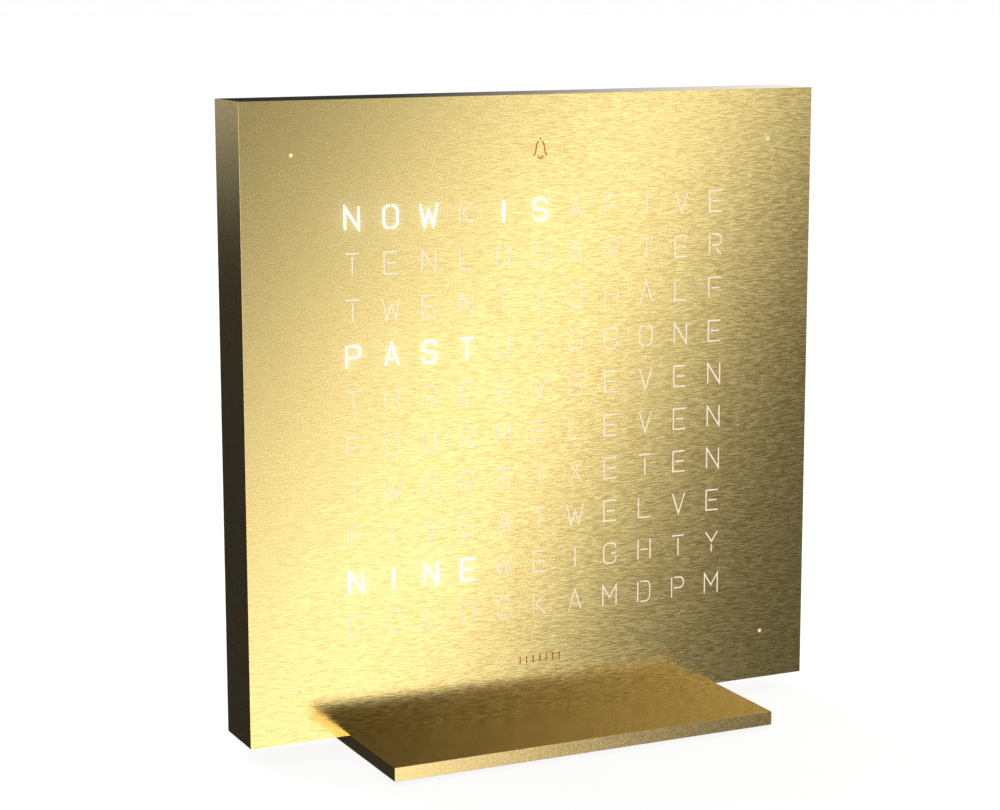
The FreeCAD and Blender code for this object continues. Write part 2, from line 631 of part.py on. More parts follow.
def fitted_sheet(name, level, thick):
    """A sheet or board that fills the case with a small gap, notched round the posts."""
    body = new_body(name, y=level, z=CASE_BASE)
    outline = front_sketch(body, up=FACE_MIDDLE)
    rectangle(outline, f"2 * {SHEET_EDGE}", f"{INNER_HEIGHT} - 2 * dims.fit_gap")
    pad(outline, thick)
    notch = front_sketch(body, "-dims.face_width / 2")
    side = f"2 * (dims.post_inset + {POST_REACH} + dims.fit_gap)"
    rectangle(notch, side, side)
    four_times(pocket(notch, thick), "dims.face_width", "dims.face_height")
    return body


def socket_bay(body, thick):
    """Cut the middle of the bottom edge away for the bar and the socket's board."""
    bay = front_sketch(body, up=f"{BAY_TOP} / 2")
    rectangle(bay, BAY_WIDTH, BAY_TOP)
    pocket(bay, thick)


def diffuser_sheet():
    """Milky sheet that lies against the face from behind."""
    fitted_sheet("diffuser_sheet", SHELL_INNER, "dims.diffuser_thick")


def light_grid():
    """Moulded grid with one tapered light well per letter, wide at the face."""
    body = fitted_sheet("light_grid", DIFFUSER_REAR, "dims.grid_depth")
    socket_bay(body, "dims.grid_depth")
    board_grooves(body)
    grid_windows(body)
    grip = "(dims.led_board_thick + dims.pin_gap)"
    hooks = (GRID_HOOKS_LOW, "3", "2 * dims.grid_hook_pitch")
    snap_hooks(body, SHEET_EDGE, "dims.grid_depth", grip, 1, *hooks)
    dot = front_sketch(body, f"-{DOT_SPAN_X} / 2", "dims.dot_inset")
    rectangle(dot, "dims.dot_well", "dims.dot_well")
    four_times(pocket(dot, "dims.grid_depth"), DOT_SPAN_X, DOT_SPAN_Z)
    floor = ("dims.led_width + 2 * dims.lamp_gap", "dims.led_height + 2 * dims.lamp_gap")
    bell = ("dims.bell_well", "dims.bell_well")
    tapered_well(body, "0", BELL_LEVEL, bell, floor, "dims.grid_depth")
    letter = (f"{COLUMN_PITCH} - dims.well_wall", f"{ROW_PITCH} - dims.well_wall")
    first = (f"-{COLUMN_SPAN} / 2", "dims.lowest_row_rise")
    well = tapered_well(body, *first, letter, floor, "dims.grid_depth")
    columns = ("X_Axis", "dims.column_count", COLUMN_SPAN)
    repeat(well, *columns, "Z_Axis", "dims.row_count", ROW_SPAN)


def board_grooves(body):
    """Two grooves in the bay's side walls that the ends of the socket's board stand in."""
    middle = "dims.inlet_gap + dims.inlet_board_thick / 2"
    groove = sketch_on(body, "XY_Plane", "0", middle)
    thick = "dims.inlet_board_thick + 2 * dims.pin_gap"
    rectangle(groove, f"{BAY_WIDTH} + 2 * dims.groove_depth", thick)
    pocket(groove, BAY_TOP)


def grid_windows(body):
    """Open the grid's unused border between its hooks, and beside the alarm well."""
    block_edge = f"({COLUMN_SPAN} / 2 + {COLUMN_PITCH} / 2 + dims.frame_rib)"
    frame_edge = f"({SHEET_EDGE} - dims.frame_rib)"
    side = f"({block_edge} + {frame_edge}) / 2"
    low = f"{FACE_MIDDLE} - dims.grid_hook_pitch / 2"
    window = front_sketch(body, f"-{side}", low)
    rectangle(window, f"{frame_edge} - {block_edge}", "dims.window_height")
    first = pocket(window, "dims.grid_depth")
    four_times(first, f"2 * {side}", "dims.grid_hook_pitch")
    block_top = f"({TOP_ROW} + {ROW_PITCH} / 2 + dims.frame_rib)"
    frame_top = "(dims.face_height - dims.sheet_wall - dims.fit_gap - dims.frame_rib)"
    inner = "(dims.bell_well / 2 + dims.grid_rim)"
    outer = f"({COLUMN_SPAN} / 2)"
    window = front_sketch(body, f"-({inner} + {outer}) / 2", f"({block_top} + {frame_top}) / 2")
    rectangle(window, f"{outer} - {inner}", f"{frame_top} - {block_top}")
    repeat(pocket(window, "dims.grid_depth"), "X_Axis", "2", f"{inner} + {outer}")


def led_board():
    """Board that carries one lamp per letter, notched for the grid's hooks."""
    body = fitted_sheet("led_board", LED_FRONT, "dims.led_board_thick")
    socket_bay(body, "dims.led_board_thick")
    hooks = (GRID_HOOKS_LOW, "3", "2 * dims.grid_hook_pitch")
    hook_notches(body, SHEET_EDGE, "dims.led_board_thick", *hooks)


def display_leds():
    """Lamps on the board's front: one per letter, minute dot and alarm sign."""
    body = new_body("display_leds", y=f"{LED_FRONT} - dims.led_thick", z=CASE_BASE)
    lamp = front_sketch(body, f"-{COLUMN_SPAN} / 2", "dims.lowest_row_rise")
    rectangle(lamp, "dims.led_width", "dims.led_height")
    columns = ("X_Axis", "dims.column_count", COLUMN_SPAN)
    repeat(pad(lamp, "dims.led_thick"), *columns, "Z_Axis", "dims.row_count", ROW_SPAN)
    lamp = front_sketch(body, f"-{DOT_SPAN_X} / 2", "dims.dot_inset")
    rectangle(lamp, "dims.led_width", "dims.led_height")
    four_times(pad(lamp, "dims.led_thick"), DOT_SPAN_X, DOT_SPAN_Z)
    lamp = front_sketch(body, up=BELL_LEVEL)
    rectangle(lamp, "dims.led_width", "dims.led_height")
    pad(lamp, "dims.led_thick")


def driver_chips():
    """Four lamp drivers on the back of the lamp board, above the main board."""
    body = new_body("driver_chips", y=LED_REAR, z=CASE_BASE)
    chip = front_sketch(body, "-dims.rib_pitch_x", "dims.driver_rise")
    rectangle(chip, "dims.driver_width", "dims.driver_width")
    repeat(pad(chip, "dims.chip_thick"), "X_Axis", "4", "2 * dims.rib_pitch_x")


# The main board


def main_board():
    """Board with the clock's electronics, on the cover's pads and notched for its hooks."""
    body = new_body("main_board", y=MAIN_FRONT, z=CASE_BASE)
    outline = front_sketch(body, up=MAIN_MIDDLE)
    rectangle(outline, "dims.main_board_width", "dims.main_board_height")
    pad(outline, "dims.main_board_thick")
    edge = "(dims.main_board_width / 2)"
    hooks = (MAIN_HOOKS_LOW, "2", "dims.main_hook_pitch")
    hook_notches(body, edge, "dims.main_board_thick", *hooks)


def button_place(place):
    """Sideways place of a push-button, counted from the left seen from the front."""
    return f"(dims.button_pitch * ({place} - {LAST_BUTTON} / 2))"


def button_row():
    """What repeats a feature of the first push-button at the others."""
    return "X_Axis", str(len(BUTTON_NAMES)), f"{LAST_BUTTON} * dims.button_pitch"


def switch_bodies():
    """Four square switch bodies on the board, each with a well for its plunger."""
    body = new_body("switch_bodies", y=MAIN_REAR, z=CASE_BASE)
    base = front_sketch(body, button_place(0), "dims.button_rise")
    rectangle(base, "dims.switch_width", "dims.switch_width")
    repeat(pad(base, "dims.switch_height"), *button_row())
    well = front_sketch(body, button_place(0), "dims.button_rise", "dims.switch_floor")
    side = "dims.plunger_width + 2 * dims.plunger_gap"
    rectangle(well, side, side)
    repeat(pocket(well, "dims.switch_height - dims.switch_floor"), *button_row())


def switch_plunger(name, place):
    """Sprung plunger of one switch, under its button cap."""
    start = "(dims.switch_floor + dims.button_travel + dims.plunger_gap)"
    body = new_body(f"{name}_plunger", button_place(place), f"{MAIN_REAR} + {start}", CASE_BASE)
    rod = front_sketch(body, up="dims.button_rise")
    rectangle(rod, "dims.plunger_width", "dims.plunger_width")
    pad(rod, f"{REAR_ROOM} - dims.cap_flange_thick - {start}")


def button_cap(name, place):
    """Button cap: a square flange behind the cover and a round stem through it."""
    body = new_body(f"{name}_button", button_place(place), COVER_INNER, CASE_BASE)
    flange = front_sketch(body, up="dims.button_rise", depth="-dims.cap_flange_thick")
    rectangle(flange, "dims.cap_flange", "dims.cap_flange")
    pad(flange, "dims.cap_flange_thick")
    stem = front_sketch(body, up="dims.button_rise")
    circle(stem, "dims.cap_diameter")
    length = size_of("cover_thick") + size_of("cap_stand_out")
    rod = pad(stem, "dims.cover_thick + dims.cap_stand_out")
    chamfer(rod, "dims.cap_edge", lambda middle: near(middle.y, length))


def microcontroller():
    """Square controller chip on the main board."""
    board_part("microcontroller", "-dims.chip_shift", "dims.upper_rise", "dims.chip_width")


def board_part(name, right, up, width, height=None, thick="dims.chip_thick"):
    """A block-shaped component on the back of the main board."""
    body = new_body(name, y=MAIN_REAR, z=CASE_BASE)
    outline = front_sketch(body, right, up)
    rectangle(outline, width, height or width)
    return pad(outline, thick)


def clock_crystal():
    """Small metal can with the quartz that keeps the time."""
    size = ("dims.crystal_width", "dims.crystal_height")
    board_part("clock_crystal", "dims.crystal_shift", "dims.upper_rise", *size)


def power_regulator():
    """Supply chip, between the capacitors and the coil."""
    board_part("power_regulator", "0", "dims.supply_rise", "dims.regulator_width")


def power_coil():
    """Shielded coil of the supply, a square block with cut corners."""
    size = ("dims.coil_width", "dims.coil_width", "dims.coil_thick")
    block = board_part("power_coil", "dims.coil_shift", "dims.supply_rise", *size)
    half = size_of("coil_thick") / 2
    chamfer(block, "dims.coil_corner", lambda middle: near(middle.y, half))


def capacitors():
    """Row of small capacitors beside the supply chip."""
    size = ("dims.capacitor_width", "dims.capacitor_height")
    first = board_part("capacitors", "-dims.capacitor_shift", "dims.supply_rise", *size)
    span = "dims.capacitor_pitch * (dims.capacitor_count - 1)"
    repeat(first, "X_Axis", "dims.capacitor_count", span)


def alarm_sounder():
    """Flat sounder with a mouth, under the cover's sound slots."""
    body = new_body("alarm_sounder", "-dims.sounder_shift", MAIN_REAR, CASE_BASE)
    case = front_sketch(body, up="dims.upper_rise")
    rectangle(case, "dims.sounder_width", "dims.sounder_width")
    pad(case, "dims.sounder_height")
    mouth = front_sketch(body, up="dims.upper_rise", depth="dims.sounder_height / 2")
    rectangle(mouth, "dims.sounder_port", "dims.sounder_port")
    pocket(mouth, "dims.sounder_height / 2")


def cell_holder():
    """Square holder for the backup cell, open at its upper side."""
    body = new_body("cell_holder", "dims.cell_shift", MAIN_REAR, CASE_BASE)
    inner = "(dims.cell_diameter + 2 * dims.cell_gap)"
    side = f"({inner} + 2 * dims.holder_wall)"
    box = front_sketch(body, up="dims.upper_rise")
    rectangle(box, side, side)
    pad(box, "dims.holder_floor + dims.cell_thick")
    seat = front_sketch(body, up="dims.upper_rise + dims.holder_wall", depth="dims.holder_floor")
    rectangle(seat, inner, f"{inner} + 2 * dims.holder_wall")
    pocket(seat, "dims.cell_thick")


def backup_cell():
    """Coin cell in its holder."""
    body = new_body("backup_cell", "dims.cell_shift", f"{MAIN_REAR} + dims.holder_floor", CASE_BASE)
    cell = front_sketch(body, up="dims.upper_rise")
    circle(cell, "dims.cell_diameter")
    pad(cell, "dims.cell_thick")


def display_plug():
    """Plug half of the connector between the two large boards, on the lamp board."""
    body = new_body("display_plug", y=LED_REAR, z=CASE_BASE)
    plug = front_sketch(body, up=LINK_LEVEL)
    rectangle(plug, "dims.link_width", "dims.link_height")
    pad(plug, "dims.board_gap")


def display_socket():
    """Socket half, a frame round the plug on the main board's front."""
    body = new_body("display_socket", y=f"{MAIN_FRONT} - dims.link_depth", z=CASE_BASE)
    frame = front_sketch(body, up=LINK_LEVEL)
    inner = ("(dims.link_width + 2 * dims.pin_gap)", "(dims.link_height + 2 * dims.pin_gap)")
    rectangle(frame, *[f"{size} + 2 * dims.link_wall" for size in inner])
    rectangle(frame, *inner)
    pad(frame, "dims.link_depth")


# The supply socket and what is beside it


def inlet_board():
    """Small upright board behind the face's lower edge, its ends in the grid's grooves."""
    body = new_body("inlet_board", y=INLET_FRONT, z=CASE_BASE)
    low = "(dims.sheet_wall + dims.fit_gap)"
    top = f"({BAY_TOP} - dims.fit_gap)"
    outline = front_sketch(body, up=f"({low} + {top}) / 2")
    width = f"{BAY_WIDTH} + 2 * (dims.groove_depth - dims.fit_gap)"
    rectangle(outline, width, f"{top} - {low}")
    pad(outline, "dims.inlet_board_thick")


def usb_shell():
    """Drawn metal shell of the supply socket, which ends level with the cover."""
    body = new_body("usb_shell", y=INLET_REAR, z=CASE_BASE)
    outline = front_sketch(body, up="dims.usb_rise")
    stadium(outline, "dims.usb_width", "dims.usb_height")
    pad(outline, usb_length())
    mouth = front_sketch(body, up="dims.usb_rise", depth="dims.usb_floor")
    stadium(mouth, "dims.usb_width - 2 * dims.usb_wall", "dims.usb_height - 2 * dims.usb_wall")
    pocket(mouth, f"{usb_length()} - dims.usb_floor")


def usb_length():
    """From the socket's board to the floor of the cover's sunk field."""
    return f"({REAR} - dims.recess_depth - {INLET_REAR})"


def usb_tongue():
    """Contact tongue in the middle of the socket."""
    body = new_body("usb_tongue", y=f"{INLET_REAR} + dims.usb_floor", z=CASE_BASE)
    tongue = front_sketch(body, up="dims.usb_rise")
    rectangle(tongue, "dims.tongue_width", "dims.tongue_height")
    pad(tongue, f"{usb_length()} - dims.usb_floor - dims.tongue_inset")


def light_sensor():
    """Sensor on the socket board's front that sets the lamps' brightness."""
    body = new_body("light_sensor", y=f"{INLET_FRONT} - dims.sensor_thick", z=CASE_BASE)
    case = front_sketch(body, up="dims.sensor_rise")
    rectangle(case, "dims.sensor_width", "dims.sensor_width")
    pad(case, "dims.sensor_thick")


def inlet_flex():
    """Flat lead from the socket's board, under the lamp board, to the main board."""
    body = new_body("inlet_flex", y=INLET_REAR, z=CASE_BASE)
    profile = sketch_on(body, "YZ_Plane")
    thick = "dims.flex_thick"
    run = f"({MAIN_FRONT} - {INLET_REAR})"
    level = f"({BAY_TOP} - 2 * dims.fit_gap)"
    foot = "(dims.usb_rise + dims.usb_height / 2 + dims.fit_gap)"
    top = f"({level} + dims.flex_width)"
    bend = "dims.flex_thick"
    corners = [("0", foot), (thick, foot), (thick, f"{level} - {thick} - {bend}")]
    corners += [(f"{thick} + {bend}", f"{level} - {thick}")]
    corners += [(f"{run} - {bend}", f"{level} - {thick}"), (run, f"{level} - {thick} + {bend}")]
    corners += [(run, top), (f"{run} - {thick}", top), (f"{run} - {thick}", f"{level} + {bend}")]
    corners += [(f"{run} - {thick} - {bend}", level), (f"{thick} + {bend}", level)]
    corners += [("0", f"{level} - {thick}")]
    polygon(profile, corners)
    pad(profile, "dims.flex_width", towards="both")


def touch_spring():
    """Leaf from the lamp board to the case's top wall, so the case senses a touch."""
    body = new_body("touch_spring", y=LED_REAR, z=CASE_BASE)
    profile = sketch_on(body, "YZ_Plane", "0", "dims.face_height - dims.sheet_wall")
    thick = "dims.spring_thick"
    reach = f"({COVER_INNER} - {LED_REAR} - dims.lip_height - 2 * dims.fit_gap)"
    bend = "-dims.spring_bend"
    corners = [("0", "-dims.spring_foot"), (thick, "-dims.spring_foot"), (thick, f"{bend} - {thick}")]
    corners += [(f"{reach} + {thick}", f"{bend} / 2 - {thick}"), (f"{reach} / 2", "0")]
    corners += [(f"{reach} / 2 - {thick}", "0"), (reach, f"{bend} / 2 - {thick} / 2")]
    corners += [("0", bend)]
    polygon(profile, corners)
    pad(profile, "dims.spring_width", towards="both")


# The base


def base_plate():
    """Flat plate that the case stands on, with two countersunk holes from below."""
    body = new_body("base_plate", z="dims.foot_height")
    outline = sketch_on(body, "XY_Plane")
    rectangle(outline, "dims.plate_width", PLATE_DEPTH)
    block = pad(outline, "dims.plate_thick")
    chamfer(block, "dims.edge_break", lambda middle: True)
    hole = sketch_on(body, "XY_Plane", "-dims.base_screw_span / 2")
    circle(hole, "dims.base_screw_diameter + 2 * dims.pin_gap")
    repeat(pocket(hole, "dims.plate_thick"), "X_Axis", "2", "dims.base_screw_span")
    sink = sketch_on(body, "XY_Plane", "-dims.base_screw_span / 2")
    circle(sink, "dims.base_screw_head + 2 * dims.pin_gap")
    depth = "(dims.base_screw_head - dims.base_screw_diameter) / 2"
    first = pocket(sink, depth, taper="-45")
    repeat(first, "X_Axis", "2", "dims.base_screw_span")


def rubber_feet():
    """Four square rubber pads glued under the plate's corners."""
    body = new_body("rubber_feet")
    across = "-(dims.plate_width / 2 - dims.foot_inset)"
    along = f"-({PLATE_DEPTH} / 2 - dims.foot_inset)"
    foot = sketch_on(body, "XY_Plane", across, along)
    rectangle(foot, "dims.foot_width", "dims.foot_width")
    first = pad(foot, "dims.foot_height")
    span_x = "dims.plate_width - 2 * dims.foot_inset"
    span_y = f"{PLATE_DEPTH} - 2 * dims.foot_inset"
    repeat(first, "X_Axis", "2", span_x, "Y_Axis", "2", span_y)


def base_block():
    """Bar inside the case's bottom that the plate's screws pull against."""
    depth = f"({COVER_INNER} - dims.lip_height - dims.fit_gap - {INLET_REAR})"
    body = new_body("base_block", y=INLET_REAR, z=CASE_BASE)
    level = "dims.sheet_wall + dims.block_height / 2"
    profile = sketch_on(body, "YZ_Plane", f"{depth} / 2", level)
    rectangle(profile, depth, "dims.block_height")
    pad(profile, "dims.block_length", towards="both")
    place = ("-dims.base_screw_span / 2", f"-{INLET_REAR}", "dims.sheet_wall")
    hole = sketch_on(body, "XY_Plane", *place)
    circle(hole, "dims.base_screw_diameter + 2 * dims.pin_gap")
    first = pocket(hole, "dims.base_screw_bite + dims.fit_gap")
    repeat(first, "X_Axis", "2", "dims.base_screw_span")


def base_screws():
    """Two countersunk screws from below, through plate and case into the bar."""
    body = new_body("base_screws", z="dims.foot_height")
    profile = sketch_on(body, "XZ_Plane", "-dims.base_screw_span / 2")
    grip = "(dims.plate_thick + dims.sheet_wall + dims.base_screw_bite)"
    sunk_screw(profile, "dims.base_screw_diameter", "dims.base_screw_head", grip, "1")
    repeat(turn(profile), "X_Axis", "2", "dims.base_screw_span")


def check_model():
    """Stop unless every feature is computed and every sub-part is a sound solid."""
    for item in DOC.Objects:
        if "Invalid" in item.State or "Error" in item.State:
            raise RuntimeError(f"{item.Name} failed: {item.State}")
    for body in SUB_PARTS:
        if body.Shape.isNull() or not body.Shape.isValid() or not body.Shape.Solids:
            raise RuntimeError(f"{body.Label} has no sound solid")


def write_parts():
    """Write each sub-part to its own STEP file."""
    os.makedirs("parts", exist_ok=True)
    for body in SUB_PARTS:
        body.Shape.exportStep(f"parts/{body.Label}.step")
        print(f"{body.Label}: {len(body.Shape.Solids)} solids, {body.Shape.Volume:.1f} mm3")


def build():
    """Make the whole clock."""
    add_sheet()
    front_shell()
    rear_cover()
    corner_posts()
    cover_screws()
    diffuser_sheet()
    light_grid()
    led_board()
    display_leds()
    driver_chips()
    main_board()
    switch_bodies()
    for place, name in enumerate(BUTTON_NAMES):
        switch_plunger(name, place)
        button_cap(name, place)
    microcontroller()
    clock_crystal()
    power_regulator()
    power_coil()
    capacitors()
    alarm_sounder()
    cell_holder()
    backup_cell()
    display_plug()
    display_socket()
    inlet_board()
    usb_shell()
    usb_tongue()
    light_sensor()
    inlet_flex()
    touch_spring()
    base_plate()
    rubber_feet()
    base_block()
    base_screws()
    DOC.recompute()
    check_model()
    write_parts()


build()
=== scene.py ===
# %% [markdown]
# # A word clock in brushed gold
# A word clock is a flat metal case whose face is cut through with a grid of letters. Lamps
# behind the face light the words that tell the time, and the other letters stay pale. This
# notebook dresses the clock's measured solids: the face gets its letters, and every part
# gets the finish that its real material has. All sizes are in metres, with Z up and the
# face looking along -Y.

# %% Load the measured solids
import math

import bmesh
import bpy
from mathutils import Matrix, Vector


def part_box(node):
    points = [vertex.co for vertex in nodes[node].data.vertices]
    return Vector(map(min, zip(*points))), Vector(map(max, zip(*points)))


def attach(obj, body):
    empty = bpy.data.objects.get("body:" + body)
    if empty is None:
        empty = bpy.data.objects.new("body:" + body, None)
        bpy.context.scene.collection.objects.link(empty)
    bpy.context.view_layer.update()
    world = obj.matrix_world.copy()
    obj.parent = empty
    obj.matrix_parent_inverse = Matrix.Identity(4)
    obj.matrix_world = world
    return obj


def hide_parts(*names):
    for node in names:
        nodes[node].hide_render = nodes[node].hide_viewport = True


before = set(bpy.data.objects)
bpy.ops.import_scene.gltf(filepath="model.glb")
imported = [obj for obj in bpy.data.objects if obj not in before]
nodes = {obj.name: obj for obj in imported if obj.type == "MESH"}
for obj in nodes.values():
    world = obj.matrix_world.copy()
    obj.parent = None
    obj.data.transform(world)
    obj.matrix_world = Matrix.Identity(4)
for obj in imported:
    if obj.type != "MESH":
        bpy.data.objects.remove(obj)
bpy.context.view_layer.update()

MM = 0.001

# %% [markdown]
# ## Small helpers
# Colours are picked as the hex values that a screen shows, and the shader wants linear
# light, so one function turns the one into the other. Another adds a single node with its
# settings and its links, and a third plugs finished patterns into a shader, which keeps
# every material below short enough to read in one go.

# %% Colours and nodes
def linear(hex_colour):
    """An sRGB hex colour as linear red, green, blue and alpha."""
    channels = [int(hex_colour[place:place + 2], 16) / 255 for place in (1, 3, 5)]
    bent = [c / 12.92 if c <= 0.04045 else ((c + 0.055) / 1.055) ** 2.4 for c in channels]
    return (*bent, 1.0)


def add(tree, kind, inputs, **settings):
    """Add one node; an input is a value, or another node's output to link from."""
    node = tree.nodes.new(kind)
    for name, value in settings.items():
        setattr(node, name, value)
    for name, value in inputs.items():
        if isinstance(value, bpy.types.NodeSocket):
            tree.links.new(value, node.inputs[name])
        else:
            node.inputs[name].default_value = value
    return node


def new_finish(name, **sockets):
    """A material with one shader, whose plain numbers are set on its own sockets."""
    material = bpy.data.materials.new(name)
    material.use_nodes = True
    shader = material.node_tree.nodes["Principled BSDF"]
    for socket, value in sockets.items():
        shader.inputs[socket.replace("_", " ")].default_value = value
    return material, material.node_tree, shader


def plug(tree, shader, **sources):
    """Link outputs to the shader's sockets of the same names."""
    for socket, source in sources.items():
        tree.links.new(source, shader.inputs[socket.replace("_", " ")])


print("white is", linear("#FFFFFF"))

# %% [markdown]
# ## Brushed gold
# The case is steel sheet, brushed along its width with an abrasive belt and then coated
# gold. The belt leaves scratches that are long along X and very thin along Z, so light
# smears upwards and the face breaks up into short level dashes. A noise that is stretched
# along X draws them. It could be an image of scratches, but a noise has no seams and its
# scale comes straight from the real size: scratches are 2 to 5 mm long. Real ones are
# 0.03 mm thin, which would vanish in the picture, so they are drawn 0.19 mm thick. A finer
# noise is the grit between them, also drawn coarser than the real 0.05 mm. Both are drawn
# faint in the upper left and grow stronger along a slant towards the right and the bottom.

# %% Brushed gold for the case
def grain(tree, size, detail):
    """A noise whose cells have the given size in millimetres along X, Y and Z."""
    place = add(tree, "ShaderNodeTexCoord", {})
    scale = [1 / (length * MM) for length in size]
    cells = add(tree, "ShaderNodeMapping", {"Vector": place.outputs["Object"], "Scale": scale})
    noise = add(tree, "ShaderNodeTexNoise", {
        "Vector": cells.outputs["Vector"], "Scale": 1.0, "Detail": detail, "Roughness": 0.6})
    return noise.outputs["Fac"]


def blend(tree, pattern, low, high):
    """Two colours mixed by a pattern, whose middle is stretched so that both are reached."""
    part = add(tree, "ShaderNodeMapRange", {"Value": pattern, "From Min": 0.35, "From Max": 0.65})
    mix = add(tree, "ShaderNodeMix", {
        "Factor": part.outputs["Result"], "A": linear(low), "B": linear(high)}, data_type="RGBA")
    return mix.outputs["Result"]


def glossed(tree, pattern, smooth, rough):
    """A roughness that follows a pattern, most of which lies between 0.3 and 0.7."""
    return add(tree, "ShaderNodeMapRange", {
        "Value": pattern, "From Min": 0.3, "From Max": 0.7,
        "To Min": smooth, "To Max": rough}).outputs["Result"]


def pressed(tree, pattern, slant_strength):
    """A pattern whose rise and fall round a half is made weaker or stronger."""
    away = add(tree, "ShaderNodeMath", {0: pattern, 1: -0.5}, operation="ADD")
    return add(tree, "ShaderNodeMath", {0: away.outputs["Value"], 1: slant_strength, 2: 0.5},
               operation="MULTIPLY_ADD").outputs["Value"]


SCRATCH, GRIT = (2.2, 2.2, 0.19), (0.2, 0.2, 0.2)
FAINT_END, STRONG_END = -107 * MM, -35 * MM  # of X less half of Z
brushed_gold, tree, shader = new_finish(
    "brushed_gold_coated_steel", Metallic=1.0, Anisotropic=0.5)
place = add(tree, "ShaderNodeTexCoord", {})
parts = add(tree, "ShaderNodeSeparateXYZ", {"Vector": place.outputs["Object"]})
slanting = add(tree, "ShaderNodeMath", {0: parts.outputs["Z"], 1: -0.5, 2: parts.outputs["X"]},
               operation="MULTIPLY_ADD")
# the scratches and grit grow stronger along this slant, from the upper left
slant_strength = add(tree, "ShaderNodeMapRange", {
    "Value": slanting.outputs["Value"], "From Min": FAINT_END, "From Max": STRONG_END,
    "To Min": 0.2, "To Max": 1.3}, interpolation_type="SMOOTHSTEP").outputs["Result"]
# the grit's contrast grows faster than the depth of the scratches
contrast = add(tree, "ShaderNodeMath", {0: slant_strength, 1: 2.2, 2: 0.5},
               operation="MULTIPLY_ADD").outputs["Value"]
dashes = pressed(tree, grain(tree, SCRATCH, 1.5), slant_strength)
grit = grain(tree, GRIT, 0.0)
sheen = blend(tree, dashes, "#DCC178", "#FFE9A0")
dust = blend(tree, pressed(tree, grit, contrast), "#D2D2D2", "#FFFFFF")
colour = add(tree, "ShaderNodeMix", {"Factor": 1.0, "A": sheen, "B": dust},
             data_type="RGBA", blend_type="MULTIPLY")
fine = add(tree, "ShaderNodeBump", {
    "Height": pressed(tree, grit, slant_strength), "Distance": 0.004 * MM})
deep = add(tree, "ShaderNodeBump", {
    "Height": dashes, "Distance": 0.0034 * MM, "Normal": fine.outputs["Normal"]})
# highlights spread across the scratches, so the tangent points up
upwards = add(tree, "ShaderNodeCombineXYZ", {"X": 0.0, "Y": 0.1, "Z": 1.0})
plug(tree, shader, Base_Color=colour.outputs["Result"], Normal=deep.outputs["Normal"],
     Roughness=glossed(tree, dashes, 0.12, 0.145), Tangent=upwards.outputs["Vector"])
print("finish:", brushed_gold.name, len(tree.nodes), "nodes")

# %% [markdown]
# The base plate is the same steel in the same gold, but blasted with fine beads instead of
# brushed: its surface is a field of round dimples, so it has no direction. A noise with
# equal cells of 0.35 mm gives the blotches, and a finer one of 0.2 mm gives the sparkle.

# %% Blasted gold for the base plate
blasted_gold, tree, shader = new_finish("blasted_gold_coated_steel", Metallic=1.0)
blotches, dimples = grain(tree, (0.35, 0.35, 0.35), 1.0), grain(tree, GRIT, 0.0)
sheen = blend(tree, blotches, "#EBCC87", "#FFE29F")
dust = blend(tree, dimples, "#DADADA", "#FFFFFF")
colour = add(tree, "ShaderNodeMix", {"Factor": 1.0, "A": sheen, "B": dust},
             data_type="RGBA", blend_type="MULTIPLY")
bump = add(tree, "ShaderNodeBump", {"Height": dimples, "Distance": 0.003 * MM})
plug(tree, shader, Base_Color=colour.outputs["Result"], Normal=bump.outputs["Normal"],
     Roughness=glossed(tree, blotches, 0.15, 0.2))
print("finish:", blasted_gold.name, len(tree.nodes), "nodes")

# %% [markdown]
# ## The other finishes
# Mouldings, boards, plated metal and rubber differ in colour, gloss and grain, but are
# drawn in the same way: two close colours mixed by a noise, and the same noise as relief.
# A table holds what makes each one itself, with its grain in millimetres. Metals keep the
# shader's usual index of refraction, and plastics get their own of about 1.5.

